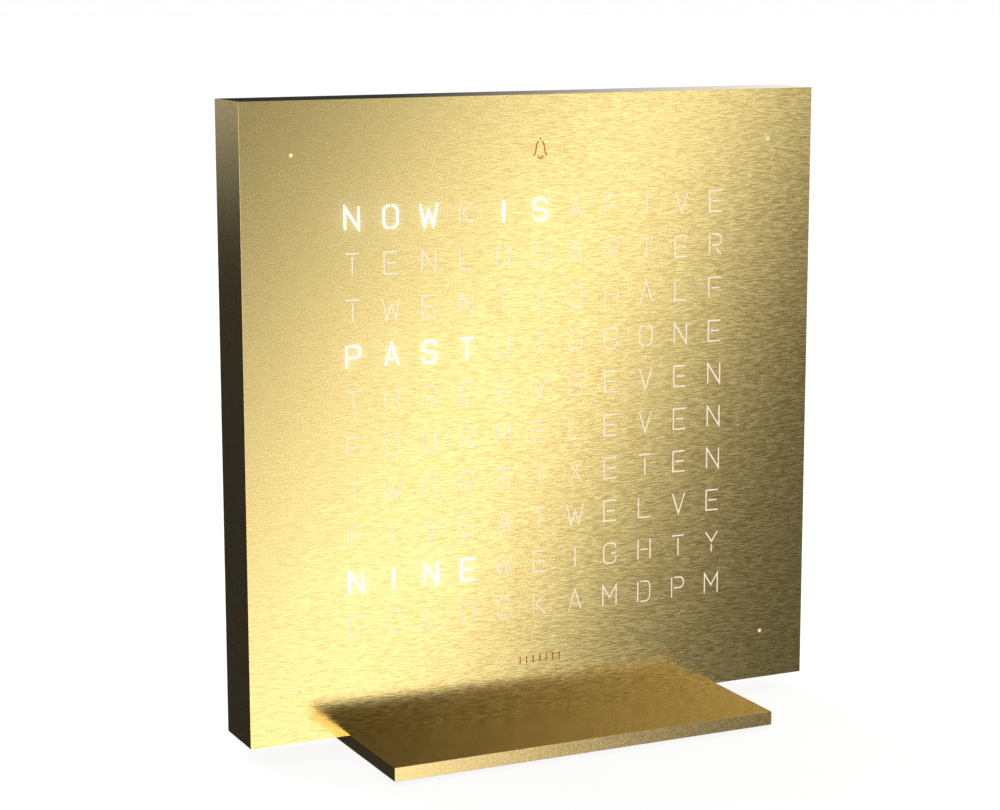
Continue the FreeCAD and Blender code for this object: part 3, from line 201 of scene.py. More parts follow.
# %% Mouldings, metals and rubber
FINISHES = {
    # name: colours, metallic, roughness from and to, IOR, grain and relief in mm
    "moulded_black_abs": ("#26262A", "#363639", 0.0, 0.38, 0.6, 1.53, 0.5, 0.03),
    "polished_black_abs": ("#38383B", "#434346", 0.0, 0.22, 0.34, 1.53, 0.6, 0.002),
    "blackened_steel": ("#4E4E52", "#646362", 1.0, 0.28, 0.42, 1.5, 0.2, 0.006),
    "zinc_plated_steel": ("#B9BDC4", "#CDD0D4", 1.0, 0.25, 0.4, 1.5, 0.5, 0.004),
    "nickel_plated_steel": ("#C9C6BE", "#DAD8D2", 1.0, 0.16, 0.28, 1.5, 0.4, 0.002),
    "opal_acrylic": ("#EDE9E2", "#F6F4EF", 0.0, 0.3, 0.4, 1.49, 0.8, 0.002),
    "white_polycarbonate": ("#E4E2DC", "#EFEEE9", 0.0, 0.45, 0.6, 1.58, 0.3, 0.01),
    "lacquered_fibreglass": ("#0E1512", "#18221D", 0.0, 0.4, 0.55, 1.55, 0.5, 0.008),
    "phosphor_resin": ("#E8D679", "#F2E7A6", 0.0, 0.25, 0.35, 1.5, 0.4, 0.004),
    "moulded_epoxy": ("#1B1B1D", "#29292B", 0.0, 0.5, 0.65, 1.55, 0.15, 0.008),
    "pressed_ferrite": ("#3B3B3D", "#4C4B4A", 0.2, 0.55, 0.7, 1.5, 0.12, 0.01),
    "barium_ceramic": ("#9A7A55", "#B08E64", 0.0, 0.45, 0.6, 1.6, 0.15, 0.006),
    "ivory_nylon": ("#D6CBAE", "#E2D9C0", 0.0, 0.4, 0.55, 1.53, 0.3, 0.006),
    "sawn_aluminium": ("#C3C6C9", "#D6D8DA", 1.0, 0.3, 0.5, 1.5, 0.5, 0.012),
    "polyimide_film": ("#B4691C", "#C97F2B", 0.0, 0.25, 0.35, 1.7, 0.9, 0.002),
    "tin_bronze": ("#C79B66", "#D8AF7C", 1.0, 0.25, 0.4, 1.5, 0.5, 0.003),
    "matt_rubber": ("#101011", "#1C1C1D", 0.0, 0.7, 0.9, 1.52, 0.3, 0.025),
}


def plain_finish(name, low, high, metallic, smooth, rough, ior, size, relief):
    """Two close colours and a relief, from one noise whose cells are the grain."""
    material, tree, shader = new_finish(name, Metallic=metallic, IOR=ior)
    cells = grain(tree, (size, size, size), 3.0)
    bump = add(tree, "ShaderNodeBump", {"Height": cells, "Distance": relief * MM})
    plug(tree, shader, Base_Color=blend(tree, cells, low, high), Normal=bump.outputs["Normal"],
         Roughness=glossed(tree, cells, smooth, rough))
    return material


finishes = {name: plain_finish(name, *values) for name, values in FINISHES.items()}
print("finishes:", ", ".join(finishes))

# %% Give every solid its finish
WEARS = {
    "moulded_black_abs": "rear_cover",
    "polished_black_abs": "hour_button minute_button brightness_button alarm_button",
    "blackened_steel": "cover_screws base_screws",
    "zinc_plated_steel": "corner_posts",
    "nickel_plated_steel": "usb_shell clock_crystal backup_cell",
    "opal_acrylic": "diffuser_sheet",
    "white_polycarbonate": "light_grid",
    "lacquered_fibreglass": "led_board main_board inlet_board",
    "phosphor_resin": "display_leds light_sensor",
    "moulded_epoxy": "driver_chips switch_bodies microcontroller power_regulator "
                     "alarm_sounder usb_tongue",
    "pressed_ferrite": "power_coil",
    "barium_ceramic": "capacitors",
    "ivory_nylon": "cell_holder display_plug display_socket hour_plunger minute_plunger "
                   "brightness_plunger alarm_plunger",
    "sawn_aluminium": "base_block",
    "polyimide_film": "inlet_flex",
    "tin_bronze": "touch_spring",
    "matt_rubber": "rubber_feet",
}
wears = {node: finishes[name] for name, names in WEARS.items() for node in names.split()}
wears.update({"base_plate": blasted_gold, "front_shell": brushed_gold})
for name, node in nodes.items():
    node.data.materials.clear()
    node.data.materials.append(wears[name])
print("solids with a finish:", len(wears), "of", len(nodes))

# %% [markdown]
# ## Letters as strokes
# Each letter is a stencil of plain strokes of one width, as a router or a laser cuts them:
# closed letters are broken by a small bridge, so that their middles don't fall out. Their
# outlines could be typed as text, but then the stroke width and the bridges would come
# from a font. Here a letter is a few corner points on a grid 4 wide and 6 high, joined by
# edges, and the corners of round letters are bevelled.

# %% The letters' strokes
STROKES = {
    "A": "0,0 2,6 4,0/1.35,1.9 2.65,1.9",
    "C": "4,4.55 4,6 0,6 0,0 4,0 4,1.45",
    "D": "0,0 0,6/.75,6 4,6 4,0 .75,0",
    "E": "4,6 0,6 0,0 4,0/.75,3 3.6,3",
    "F": "0,0 0,6 4,6/.75,3 3.6,3",
    "G": "4,4.55 4,6 0,6 0,0 4,0 4,2.1/4,2.9 2.3,2.9",
    "H": "0,0 0,6/4,0 4,6/.75,3 3.25,3",
    "I": "2,0 2,6",
    "K": "0,0 0,6/4,6 .8,3 4,0",
    "L": "0,6 0,0 4,0",
    "M": "-.2,0 -.2,6 2,2.4 4.2,6 4.2,0",
    "N": "0,0 0,6 4,0 4,6",
    "O": "2.35,6 4,6 4,0 2.35,0/1.65,6 0,6 0,0 1.65,0",
    "P": "0,0 0,6/.75,6 4,6 4,2.8 .75,2.8",
    "Q": "2.35,6 4,6 4,1.3/1.65,6 0,6 0,0 2.6,0/2.4,1.8 4.1,0",
    "R": "0,0 0,6/.75,6 4,6 4,2.8 .75,2.8/2.1,2.1 4,0",
    "S": "4,4.55 4,6 0,6 0,3 4,3 4,0 0,0 0,1.45",
    "T": "0,6 4,6/2,0 2,5.25",
    "U": "0,6 0,0 4,0 4,6",
    "V": "0,6 2,0 4,6",
    "W": "-.6,6 .7,0 2,4.2 3.3,0 4.6,6",
    "X": "0,0 4,6/0,6 1.6,3.6/2.4,2.4 4,0",
    "Y": "0,6 2,3.1 4,6/2,2.3 2,0",
}
ROUND_LETTERS = "CDGOPQRSU"
ROWS = ("NOWKISAFIVE", "TENLQUARTER", "TWENTYDHALF", "PASTUTOGONE", "THREEVSEVEN",
        "FOURMELEVEN", "TWORSIXETEN", "FIVEATWELVE", "NINEWEIGHTY", "OCLOCKAMDPM")
LIT = {0: (0, 1, 2, 4, 5), 3: (0, 1, 2, 3), 8: (0, 1, 2, 3)}
UNIT = 0.76 * MM  # one step of the letters' grid
CORNER = 1.4  # how far a round letter's corners are cut back, in those steps
HALF_WIDE, HALF_HIGH = 2, 3
print("letters:", sum(len(row) for row in ROWS), "lit:", sum(len(row) for row in LIT.values()))

# %% [markdown]
# The strokes lie in the face's plane. The grid's pitch is that of the light wells behind
# it, so each letter stands over its own lamp.

# %% Draw the strokes on the face
face_low, face_high = (Vector(corner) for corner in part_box("front_shell"))
COLUMN_PITCH, ROW_PITCH = 8.66 * MM, 9.64 * MM
TOP_ROW = face_high.z - 24.45 * MM
MIDDLE_COLUMN = len(ROWS[0]) // 2


def draw(wires, strokes, across, up, unit=UNIT, corner=0.0):
    """Draw strokes round a point of the face; their corners are rounded if asked."""
    for stroke in strokes.split("/"):
        path = []
        for pair in stroke.split():
            right, high = (float(number) for number in pair.split(","))
            place = (across + (right - HALF_WIDE) * unit, face_low.y,
                     up + (high - HALF_HIGH) * unit)
            path.append(wires.verts.new(place))
        for start, end in zip(path, path[1:]):
            wires.edges.new((start, end))
        if corner and len(path) > 2:
            bmesh.ops.bevel(
                wires, geom=path[1:-1], offset=corner * unit, offset_type="OFFSET",
                segments=4, profile=0.5, affect="VERTICES", clamp_overlap=False, material=-1)


lit_wires, pale_wires = bmesh.new(), bmesh.new()
for row, letters in enumerate(ROWS):
    for column, letter in enumerate(letters):
        wires = lit_wires if column in LIT.get(row, ()) else pale_wires
        across = (column - MIDDLE_COLUMN) * COLUMN_PITCH
        up = TOP_ROW - row * ROW_PITCH
        draw(wires, STROKES[letter], across, up, corner=CORNER if letter in ROUND_LETTERS else 0.0)
print("edges, lit:", len(lit_wires.edges), "pale:", len(pale_wires.edges))

# %% [markdown]
# The sign over the letters shows that the alarm is set: a plain bell, drawn in the same
# strokes. Near the face's lower edge a row of upright slots lets daylight reach a sensor,
# so the lamps dim at night. A small round hole in each corner counts single minutes.

# %% The alarm sign, the sensor's slots and the minute dots
BELL = (".2,1.4 .7,1.9 1.1,4.2 1.6,4.8/3.8,1.4 3.3,1.9 2.9,4.2 2.4,4.8"
        "/2,5.15 2,5.65/1.3,1.25 1.7,.8 2.3,.8 2.7,1.25")
BELL_LEVEL, BELL_UNIT = face_high.z - 11.5 * MM, 0.9 * MM
SLOT, SLOT_LEVEL, SLOT_UNIT, SLOT_PITCH = "2,2 2,4", face_low.z + 11.6 * MM, 0.875 * MM, 1.6 * MM
sign_wires = bmesh.new()
draw(sign_wires, BELL, 0.0, BELL_LEVEL, unit=BELL_UNIT)
for place in range(-3, 4):  # the middle slot is at 0
    draw(sign_wires, SLOT, place * SLOT_PITCH, SLOT_LEVEL, unit=SLOT_UNIT)
DOT_ASIDE, DOT_INSET, DOT_RADIUS = 56.4 * MM, 11.1 * MM, 0.45 * MM
DOT_PLACES = [(side * DOT_ASIDE, level) for side in (-1, 1)
              for level in (face_low.z + DOT_INSET, face_high.z - DOT_INSET)]
print("minute dots:", len(DOT_PLACES))

# %% [markdown]
# Strokes become bars in two steps. Extruding their edges through the face gives ribbons,
# and a Solidify modifier gives the ribbons their width on both sides, with neat mitres at
# the corners. The same bars serve twice: a little larger as the tool that cuts the face,
# and a little smaller as the milky resin that fills the cuts.

# %% Turn strokes into bars
def link(name, shape, material=None):
    """Put a mesh or a bmesh in the scene as an object at the origin."""
    mesh = shape
    if isinstance(shape, bmesh.types.BMesh):
        mesh = bpy.data.meshes.new(name)
        shape.to_mesh(mesh)
    piece = bpy.data.objects.new(name, mesh)
    bpy.context.scene.collection.objects.link(piece)
    if material:
        mesh.materials.clear()
        mesh.materials.append(material)
    return piece


def lift(solid, verts, shift):
    """Move some corners by a shift in metres."""
    bmesh.ops.translate(solid, vec=shift, verts=verts)


def corners_of(geometry):
    """The corners among what an operator made."""
    return [item for item in geometry if isinstance(item, bmesh.types.BMVert)]


def as_made(piece):
    """The piece's mesh with its modifiers worked in; the piece itself is removed."""
    graph = bpy.context.evaluated_depsgraph_get()
    mesh = bpy.data.meshes.new_from_object(piece.evaluated_get(graph))
    bpy.data.objects.remove(piece)
    return mesh


def belong(piece, body, node=None):
    """Say which body a piece rides on, and the solid that it stands for."""
    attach(piece, body)
    if node:
        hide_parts(node)
    print(piece.name, len(piece.data.polygons), "faces")


def bars(wires, width, front, back):
    """Closed bars of a width along the strokes, between two depths."""
    ribbons = wires.copy()
    lift(ribbons, ribbons.verts, (0, front - face_low.y, 0))
    grown = bmesh.ops.extrude_edge_only(ribbons, edges=ribbons.edges[:])["geom"]
    lift(ribbons, corners_of(grown), (0, back - front, 0))
    bmesh.ops.recalc_face_normals(ribbons, faces=ribbons.faces)
    piece = link("ribbons", ribbons)
    ribbons.free()
    wall = piece.modifiers.new("width", "SOLIDIFY")
    wall.thickness, wall.offset, wall.use_even_offset = width, 0, True
    solid = bmesh.new()
    solid.from_mesh(as_made(piece))
    bmesh.ops.recalc_face_normals(solid, faces=solid.faces)
    return solid


def discs(radius, front, back):
    """A short round bar at each minute dot."""
    solid = bmesh.new()
    for across, up in DOT_PLACES:
        middle = Matrix.Translation((across, (front + back) / 2, up))
        bmesh.ops.create_cone(
            solid, cap_ends=True, segments=24, radius1=radius, radius2=radius,
            depth=back - front, matrix=middle @ Matrix.Rotation(math.pi / 2, 4, "X"))
    return solid


SHEET = 1.0 * MM
PALE_WIDTH, LIT_WIDTH, SIGN_WIDTH = 0.31 * MM, 0.36 * MM, 0.3 * MM
front, back = face_low.y, face_low.y + SHEET
print("stroke widths:", PALE_WIDTH, LIT_WIDTH)

# %% [markdown]
# ## The case
# The real pan is folded from one sheet, its four corners are welded and ground flush, and
# its outer edges are only just broken, so they look sharp. So the mesh starts as one block.
# The open rear is inset by the sheet's thickness, and the inside is pushed forwards up to
# the back of the face. Last the outer edges are bevelled by a twentieth of a millimetre,
# but not those underneath, which stand flat on the base plate.

# %% The folded pan
def block(solid, low, high):
    """Add a block between two of its corners."""
    verts = bmesh.ops.create_cube(solid, size=1)["verts"]
    bmesh.ops.scale(solid, vec=high - low, verts=verts)
    lift(solid, verts, (low + high) / 2)


def break_edges(solid, edges, width):
    """Round some edges a little."""
    bmesh.ops.bevel(
        solid, geom=edges, offset=width, offset_type="OFFSET", segments=2, profile=0.5,
        affect="EDGES", clamp_overlap=True, material=-1)


pan = bmesh.new()
block(pan, face_low, face_high)
rear = face_high.y
outer = [edge for edge in pan.edges
         if min(vert.co.y for vert in edge.verts) < rear - SHEET
         and max(vert.co.z for vert in edge.verts) > face_low.z + SHEET]
opening = [face for face in pan.faces if face.normal.y > 0.9]
bmesh.ops.inset_region(pan, faces=opening, thickness=SHEET, use_even_offset=True)
pushed = bmesh.ops.extrude_face_region(pan, geom=opening)["geom"]
lift(pan, corners_of(pushed), (0, back - rear, 0))
bmesh.ops.delete(pan, geom=opening, context="FACES")
break_edges(pan, outer, 0.05 * MM)
bmesh.ops.recalc_face_normals(pan, faces=pan.faces)
print("pan faces:", len(pan.faces), "open edges:", sum(edge.is_boundary for edge in pan.edges),
      "volume cm3:", round(pan.calc_volume() * 1e6, 2))

# %% [markdown]
# All the cuts go through the face in one Boolean. Its Manifold solver needs closed bars
# that don't touch each other, which is why the letters' strokes stop short of one another,
# and in return it takes a second for over two hundred of them.

# %% Cut the face
def joined(solids):
    """Several bmeshes as one."""
    whole = bmesh.new()
    for solid in solids:
        loose = bpy.data.meshes.new("loose")
        solid.to_mesh(loose)
        whole.from_mesh(loose)
        bpy.data.meshes.remove(loose)
    return whole


def carved(name, solid, tool, material):
    """What is left of a solid when a tool is cut out of it, as a piece."""
    blank, cutter = link("blank", solid), link("cuts", tool)
    cutting = blank.modifiers.new("cuts", "BOOLEAN")
    cutting.operation, cutting.solver, cutting.object = "DIFFERENCE", "MANIFOLD", cutter
    piece = link(name, as_made(blank), material)
    bpy.data.objects.remove(cutter)
    return piece


OVERSHOOT = 0.5 * MM
deep_front, deep_back = front - OVERSHOOT, back + OVERSHOOT
cuts = joined([
    bars(pale_wires, PALE_WIDTH, deep_front, deep_back),
    bars(lit_wires, LIT_WIDTH, deep_front, deep_back),
    bars(sign_wires, SIGN_WIDTH, deep_front, deep_back),
    discs(DOT_RADIUS, deep_front, deep_back)])
case = carved("case_with_letters", pan, cuts, brushed_gold)
belong(case, "clock", "front_shell")
kept = bmesh.new()
kept.from_mesh(case.data)
print("cut away mm3:", round((pan.calc_volume() - kept.calc_volume()) * 1e9, 1))

# %% [markdown]
# ## The base plate
# The plate is sawn from thick steel sheet and blasted all over, which leaves its edges
# crisp. Two screws come up through it from below, so it has two holes whose mouths are
# countersunk. A plug of the same shape cuts each one: a cone, whose small end is extruded
# up through the plate.

# %% Blasted plate with countersunk holes
low, high = (Vector(corner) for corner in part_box("base_plate"))
plate = bmesh.new()
block(plate, low, high)
break_edges(plate, plate.edges[:], 0.04 * MM)
screw_low, screw_high = (Vector(corner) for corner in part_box("base_screws"))
BASE_HEAD, BASE_SHANK, BASE_KEY = 5.6 * MM, 3.0 * MM, 2.0 * MM
MOUTH, BORE, BELOW = 2.82 * MM, 1.52 * MM, 0.2 * MM
plugs = bmesh.new()
for across in (screw_low.x + BASE_HEAD / 2, screw_high.x - BASE_HEAD / 2):
    depth = MOUTH - BORE + BELOW
    middle = Matrix.Translation((across, 0, low.z - BELOW + depth / 2))
    cone = bmesh.ops.create_cone(
        plugs, cap_ends=True, segments=48, radius1=MOUTH + BELOW, radius2=BORE,
        depth=depth, matrix=middle)["verts"]
    top = [face for face in plugs.faces if face.normal.z > 0.9 and face.verts[0] in cone]
    grown = bmesh.ops.extrude_face_region(plugs, geom=top)["geom"]
    lift(plugs, corners_of(grown), (0, 0, high.z - low.z - depth + 2 * BELOW))
    bmesh.ops.delete(plugs, geom=top, context="FACES")
bmesh.ops.recalc_face_normals(plugs, faces=plugs.faces)
belong(carved("plate_with_holes", plate, plugs, blasted_gold), "clock", "base_plate")

# %% [markdown]
# ## Milky resin in the cuts
# The cuts are filled flush with a clear resin that has white powder in it, so a letter is
# seen from any side and no dust gets in. Unlit it has a faint painted glow, and its warm
# tint is a painted reflection of the gold round it; lit it is brighter than anything near.
# The minute dots get a warmer painted glow. The sign and the slots are filled with an amber
# one, whose colour and faint glow are a painted reflection of the gold walls of their cuts.

# %% Resins, unlit and lit
def resin(name, low, high, glow, strength):
    """Milky resin; its glow is the lamp behind a lit letter, and painted light on the rest."""
    material = plain_finish(name, low, high, metallic=0.0, smooth=0.35, rough=0.5, ior=1.5,
                            size=0.5, relief=0.003)
    shader = material.node_tree.nodes["Principled BSDF"]
    shader.inputs["Emission Color"].default_value = linear(glow)
    shader.inputs["Emission Strength"].default_value = strength
    return material


# the unlit letters' faint glow is painted light, and their warm tint a painted reflection of the
# gold
pale_resin_painted_glow = resin("milky_resin_unlit_painted_glow", "#E2D5C6", "#F3EADF", "#F0DCC4", 0.55)
lit_resin = resin("milky_resin_lit", "#FFFDF6", "#FFFFFF", "#FFFBEF", 4.5)
# the amber colour and faint orange glow are a painted reflection of the cuts' gold walls
amber_resin_painted_reflection = resin("amber_resin_painted_reflection", "#8C4A1E", "#CF7F38", "#D0601C", 0.3)
# the minute dots' faint warm glow is painted light
dot_resin_painted_glow = resin("milky_resin_dots_painted_glow", "#D8C9A8", "#EFE3C6", "#F0C880", 0.55)
HAIR, SUNK = 0.01 * MM, 0.05 * MM
fillings = {
    "unlit_letters": (bars(pale_wires, PALE_WIDTH - HAIR, front + SUNK, back), pale_resin_painted_glow),
    "lit_letters": (bars(lit_wires, LIT_WIDTH - HAIR, front + SUNK / 4, back), lit_resin),
    "alarm_sign_and_slots": (bars(sign_wires, SIGN_WIDTH - HAIR, front + SUNK, back), amber_resin_painted_reflection),
    "minute_dots": (discs(DOT_RADIUS - HAIR / 2, front + SUNK, back), dot_resin_painted_glow),
}
for name, (solid, material) in fillings.items():
    belong(link(name, solid, material), "clock")

# %% [markdown]
# ## Button caps
# A cap is moulded in black plastic and polished. A finger finds its middle by a shallow
# dish, and its rim is rounded so that it doesn't scrape in the cover. It is a turned shape
# on a square flange, so one profile is spun round the button's own axis, and the flange is
# a plain block.

# %% Dished button caps
def turned(solid, across, up, profile, segments=48):
    """Spin a profile of radius and depth pairs round an axis along Y."""
    ring = [solid.verts.new((across + radius, depth, up)) for radius, depth in profile]
    edges = [solid.edges.new(pair) for pair in zip(ring, ring[1:])]
    bmesh.ops.spin(
        solid, geom=ring + edges, cent=(across, 0, up), axis=(0, 1, 0), dvec=(0, 0, 0),
        angle=2 * math.pi, steps=segments, use_merge=True, use_duplicate=False)
    bmesh.ops.remove_doubles(solid, verts=solid.verts, dist=1e-7)


BUTTONS = ("hour", "minute", "brightness", "alarm")
STEM_FOOT, FLANGE_HALF, FLANGE_THICK = 0.35 * MM, 3.5 * MM, 0.4 * MM
# radius, and place along Y from the tip, both in mm
CAP_CROWN = ((2.7, -0.3), (2.62, -0.12), (2.45, -0.02), (2.25, 0), (2.0, -0.03), (1.6, -0.12),
             (1.0, -0.2), (0.5, -0.235), (0, -0.25))
for name in BUTTONS:
    low, high = (Vector(corner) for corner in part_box(f"{name}_button"))
    across, up, tip = (low.x + high.x) / 2, (low.z + high.z) / 2, high.y
    cap = bmesh.new()
    foot = low.y + STEM_FOOT
    crown = [(radius * MM, tip + rise * MM) for radius, rise in CAP_CROWN]
    turned(cap, across, up, [(0, foot), (crown[0][0], foot), *crown])
    block(cap, Vector((across - FLANGE_HALF, low.y, up - FLANGE_HALF)),
          Vector((across + FLANGE_HALF, low.y + FLANGE_THICK, up + FLANGE_HALF)))
    bmesh.ops.recalc_face_normals(cap, faces=cap.faces)
    piece = link(f"{name}_cap", cap, finishes["polished_black_abs"])
    belong(piece, f"{name}_button", f"{name}_button")

# %% [markdown]
# ## Screws
# The cover and the base plate are held by countersunk socket screws, turned and then
# blackened in hot salts. So each is one profile spun round its axis, and a six-sided prism
# is cut out of its head for the key. All the screws of a set are cut in one Boolean.

# %% Countersunk socket screws
def socket_screws(name, node, places, turn, head, shank, length, key):
    """Equal screws as one piece for a node; unturned, a screw points along -Y."""
    cone, tip, rim, edge = (head - shank) / 2, 0.12 * MM, 0.06 * MM, 0.05 * MM
    profile = [(0, 0), (head / 2 - rim, 0), (head / 2, -edge), (shank / 2, -cone),
               (shank / 2, tip - length), (shank / 2 - tip, -length), (0, -length)]
    solids, sockets = [], []
    for place in places:
        where = Matrix.Translation(place) @ turn
        solids.append(bmesh.new())
        turned(solids[-1], 0, 0, profile, segments=36)
        bmesh.ops.recalc_face_normals(solids[-1], faces=solids[-1].faces)
        bmesh.ops.transform(solids[-1], matrix=where, verts=solids[-1].verts)
        sockets.append(bmesh.new())  # centred on the head's face, so half of it cuts
        bmesh.ops.create_cone(
            sockets[-1], cap_ends=True, segments=6, radius1=key / math.sqrt(3),
            radius2=key / math.sqrt(3), depth=1.8 * cone,
            matrix=where @ Matrix.Rotation(math.pi / 2, 4, "X"))
    piece = carved(name, joined(solids), joined(sockets), finishes["blackened_steel"])
    belong(piece, "clock", node)


COVER_HEAD, COVER_SHANK, COVER_KEY = 4.6 * MM, 2.5 * MM, 1.5 * MM
low, high = (Vector(corner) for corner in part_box("cover_screws"))
half = COVER_HEAD / 2
corners = [(across, high.y, up) for across in (low.x + half, high.x - half)
           for up in (low.z + half, high.z - half)]
socket_screws("cover_socket_screws", "cover_screws", corners, Matrix.Identity(4),
              COVER_HEAD, COVER_SHANK, high.y - low.y, COVER_KEY)
low, high = (Vector(corner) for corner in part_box("base_screws"))
half = BASE_HEAD / 2
pair = [(across, 0, low.z) for across in (low.x + half, high.x - half)]
socket_screws("base_socket_screws", "base_screws", pair, Matrix.Rotation(-math.pi / 2, 4, "X"),
              BASE_HEAD, BASE_SHANK, high.z - low.z, BASE_KEY)

# %% [markdown]
# ## Marks for the fingers
# Buttons at the back are used by feel, so the cover has small raised pips over them: one
# for the first button, two for the second, and so on. They are a second shot of white
# plastic, so that they are also seen, and no more than a fifth of a millimetre high, so
# flattened half spheres do.

# %% Raised pips over the buttons
PIP_RADIUS, PIP_FLATNESS, PIP_PITCH, PIP_RISE = 0.42 * MM, 0.35, 1.5 * MM, 2.6 * MM
cover_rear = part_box("rear_cover")[1].y
pips = bmesh.new()
for place, name in enumerate(BUTTONS):
    low, high = (Vector(corner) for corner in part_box(f"{name}_button"))
    for pip in range(place + 1):
        across = (low.x + high.x) / 2 + (pip - place / 2) * PIP_PITCH
        made = bmesh.ops.create_icosphere(pips, subdivisions=3, radius=PIP_RADIUS)["verts"]
        bmesh.ops.scale(pips, vec=(1, PIP_FLATNESS, 1), verts=made)
        lift(pips, made, (across, cover_rear, high.z + PIP_RISE))
belong(link("button_pips", pips, finishes["white_polycarbonate"]), "clock")
print("rear of cover", round(cover_rear, 5))

# %% [markdown]
# ## Studio
# The floor is a sheet of matt paper. It glows a little, which keeps it an even white and
# leaves only a faint shadow under the clock, and a shell of the same paper far away is the
# backdrop from every side. Its own back is clear, so that the clock's underside can be
# looked at through it. Metal shows what stands round it, so the paper is hidden from
# reflections, and the room alone makes the light and dark in the gold. The back is black
# plastic, which a wide lamp high up behind it brings out.

# %% Paper floor
FLOOR_HALF, SHELL_RADIUS = 9, 8  # metres
sweep = bmesh.new()
bmesh.ops.create_grid(sweep, x_segments=2, y_segments=2, size=FLOOR_HALF)
paper, tree, shader = new_finish("matt_paper", Roughness=0.9, IOR=1.5, Emission_Strength=0.9)
fibres = grain(tree, (40, 40, 40), 3.0)
tree.links.new(blend(tree, fibres, "#5E5E5E", "#646464"), shader.inputs["Base Color"])
shader.inputs["Emission Color"].default_value = linear("#FFFFFF")
clear = add(tree, "ShaderNodeBsdfTransparent", {})
side = add(tree, "ShaderNodeNewGeometry", {})
sheet = add(tree, "ShaderNodeMixShader", {
    0: side.outputs["Backfacing"], 1: shader.outputs["BSDF"], 2: clear.outputs["BSDF"]})
tree.links.new(sheet.outputs["Shader"], tree.nodes["Material Output"].inputs["Surface"])
floor = link("paper_floor", sweep, paper)
backing = bmesh.new()
bmesh.ops.create_icosphere(backing, subdivisions=4, radius=SHELL_RADIUS)
bmesh.ops.reverse_faces(backing, faces=backing.faces)
backdrop = link("paper_backdrop", backing, paper)
for piece in (floor, backdrop):
    piece.visible_glossy = piece.visible_shadow = False
backdrop.visible_diffuse = False
print("paper:", tuple(round(side, 1) for side in floor.dimensions), "m")

# %% A soft lamp behind
lamp = bpy.data.lights.new("back_lamp", "AREA")
lamp.shape, lamp.size, lamp.energy = "SQUARE", 0.8, 18.0
shining = bpy.data.objects.new("back_lamp", lamp)
shining.location = (-0.25, 0.8, 0.9)
away_from_clock = Vector((-0.25, 0.8, 0.83))
shining.rotation_euler = away_from_clock.to_track_quat("Z", "Y").to_euler()
shining.visible_glossy = False
bpy.context.scene.collection.objects.link(shining)
print("lamp:", lamp.energy, "W,", round(lamp.size, 2), "m wide")

# %% Camera
TILT, ROLL, TURN = 90 - 10.10, 0.09, -25.36  # degrees
stage = bpy.context.scene
eye = bpy.data.cameras.new("eye")
eye.lens, eye.sensor_width, eye.clip_start = 88.53, 36.0, 0.01
camera = bpy.data.objects.new("eye", eye)
camera.location = (-0.2321, -0.4770, 0.1654)
camera.rotation_euler = tuple(math.radians(angle) for angle in (TILT, ROLL, TURN))
stage.collection.objects.link(camera)
stage.camera = camera
stage.view_settings.view_transform = "Standard"
print("camera at", tuple(round(place, 3) for place in camera.location))

# %% [markdown]
# The room is a World whose light depends only on the direction it comes from. It could be
# several area lamps, but then each lamp's edge would have to be found by trial. Here a
# direction is turned into two angles: how far round it lies from the clock's front, and how
# high it is. Every lamp is then a fade from one level to another between two angles, listed
# in one table: a bright slanting panel with soft edges in front, a lamp at the left, a dim
# floor and a lamp behind, and a white tent overhead.

# %% The angles of a direction
room = bpy.data.worlds.new("room")
stage.world = room
room.use_nodes = True
tree = room.node_tree
towards = add(tree, "ShaderNodeTexCoord", {})
parts = add(tree, "ShaderNodeSeparateXYZ", {"Vector": towards.outputs["Generated"]})
ahead = add(tree, "ShaderNodeMath", {0: parts.outputs["Y"], 1: -1.0}, operation="MULTIPLY")
turn = add(tree, "ShaderNodeMath", {0: parts.outputs["X"], 1: ahead.outputs["Value"]},
           operation="ARCTAN2")
rise = add(tree, "ShaderNodeMath", {0: parts.outputs["Z"]}, operation="ARCSINE")
aside = add(tree, "ShaderNodeMath", {0: turn.outputs["Value"]}, operation="DEGREES")
above = add(tree, "ShaderNodeMath", {0: rise.outputs["Value"]}, operation="DEGREES")
angles = {"aside": aside.outputs["Value"], "above": above.outputs["Value"],
          "behind": parts.outputs["Y"]}
# the panel's two edges lean, each by its own share of the height
for name, slant in (("slant right", -0.46), ("slant left", -0.65)):
    angles[name] = add(tree, "ShaderNodeMath", {
        0: angles["above"], 1: slant, 2: angles["aside"]},
        operation="MULTIPLY_ADD").outputs["Value"]
print("angles:", ", ".join(angles))

# %% The lamps as fades
FADES = {
    # name: what it reads, where it starts and ends (degrees, or a share), its level there
    "panel right": ("slant right", 31.0, 35.2, 1.87, 0.0),
    "panel left": ("slant left", 20.6, 33.7, 0.07, 1.0),
    "front wall": ("aside", 34.5, 26.0, 0.092, 0.245),
    "side lamp": ("aside", -10.0, 5.0, 1.75, 0.0),
    "lamp's far side": ("aside", -48.0, -32.0, 0.22, 1.0),
    "dim low down": ("above", -48.0, -24.0, 0.3, 1.0),
    "floor behind": ("above", -6.6, -0.9, 0.036, 0.6),
    "floor aside": ("behind", 0.77, 0.62, 0.0, 0.45),
    "lamp behind": ("behind", 0.968, 0.992, 0.0, 0.6),
    "tent in front": ("aside", 19.0, 35.0, 0.05, 0.74),
    "tent behind": ("aside", 157.8, 145.5, 0.0, 1.2),
    "is behind": ("behind", -0.15, 0.15, 0.0, 1.0),
    "is tent": ("above", -1.0, 3.0, 0.0, 1.0),
    "is overhead": ("above", 30.0, 55.0, 0.0, 1.0),
}
OVERHEAD = 0.8
fades = {}
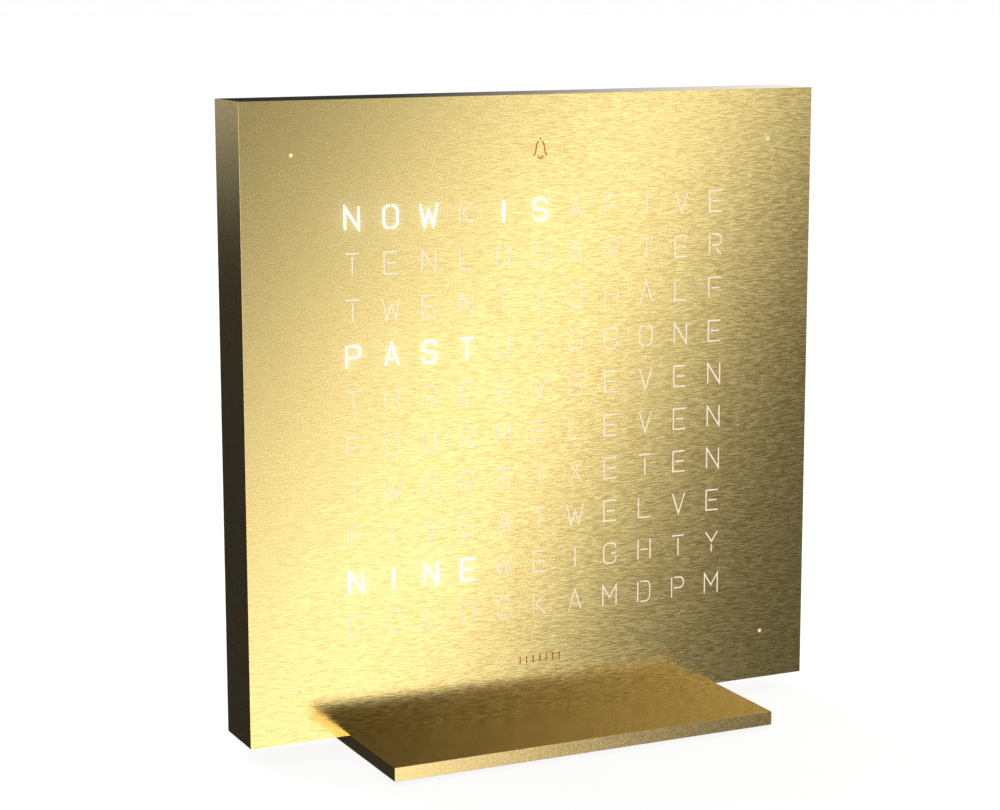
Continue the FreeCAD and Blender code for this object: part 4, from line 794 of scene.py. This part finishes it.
for name, (angle, start, end, first, last) in FADES.items():
    fades[name] = add(tree, "ShaderNodeMapRange", {
        "Value": angles[angle], "From Min": start, "From Max": end,
        "To Min": first, "To Max": last}, interpolation_type="SMOOTHSTEP").outputs["Result"]
panel = add(tree, "ShaderNodeMath", {
    0: fades["panel right"], 1: fades["panel left"], 2: fades["front wall"]},
    operation="MULTIPLY_ADD")
lamps = add(tree, "ShaderNodeMath", {
    0: fades["side lamp"], 1: fades["lamp's far side"], 2: panel.outputs["Value"]},
    operation="MULTIPLY_ADD")
dimmed = add(tree, "ShaderNodeMath", {0: lamps.outputs["Value"], 1: fades["dim low down"]},
             operation="MULTIPLY")
glow = fades["floor behind"]
for name in ("floor aside", "lamp behind"):
    glow = add(tree, "ShaderNodeMath", {0: glow, 1: fades[name]}, operation="ADD").outputs["Value"]
below = add(tree, "ShaderNodeMix", {
    "Factor": fades["is behind"], "A": dimmed.outputs["Value"], "B": glow})
walls = add(tree, "ShaderNodeMix", {
    "Factor": fades["is behind"], "A": fades["tent in front"], "B": fades["tent behind"]})
tent = add(tree, "ShaderNodeMix", {
    "Factor": fades["is overhead"], "A": walls.outputs["Result"], "B": OVERHEAD})
whole = add(tree, "ShaderNodeMix", {
    "Factor": fades["is tent"], "A": below.outputs["Result"], "B": tent.outputs["Result"]})
sky = tree.nodes["Background"]
tree.links.new(whole.outputs["Result"], sky.inputs["Color"])
print("room:", len(FADES), "fades,", len(tree.nodes), "nodes")

# %% [markdown]
# ## Bloom
# A bright letter in a dim room has a soft edge, because a lens scatters a little of its
# light. A Glare node adds that to the finished picture. Only what is far brighter than
# white paper takes part, which is the lit letters alone.

# %% A faint bloom round the lit letters
stage.use_nodes = True
tree = stage.node_tree
tree.nodes.clear()
picture = add(tree, "CompositorNodeRLayers", {})
bloom = add(tree, "CompositorNodeGlare", {
    "Image": picture.outputs["Image"], "Threshold": 2.4, "Strength": 1.0, "Size": 0.15},
    glare_type="BLOOM", quality="HIGH")
add(tree, "CompositorNodeComposite", {"Image": bloom.outputs["Image"]})
print("bloom above", bloom.inputs["Threshold"].default_value)
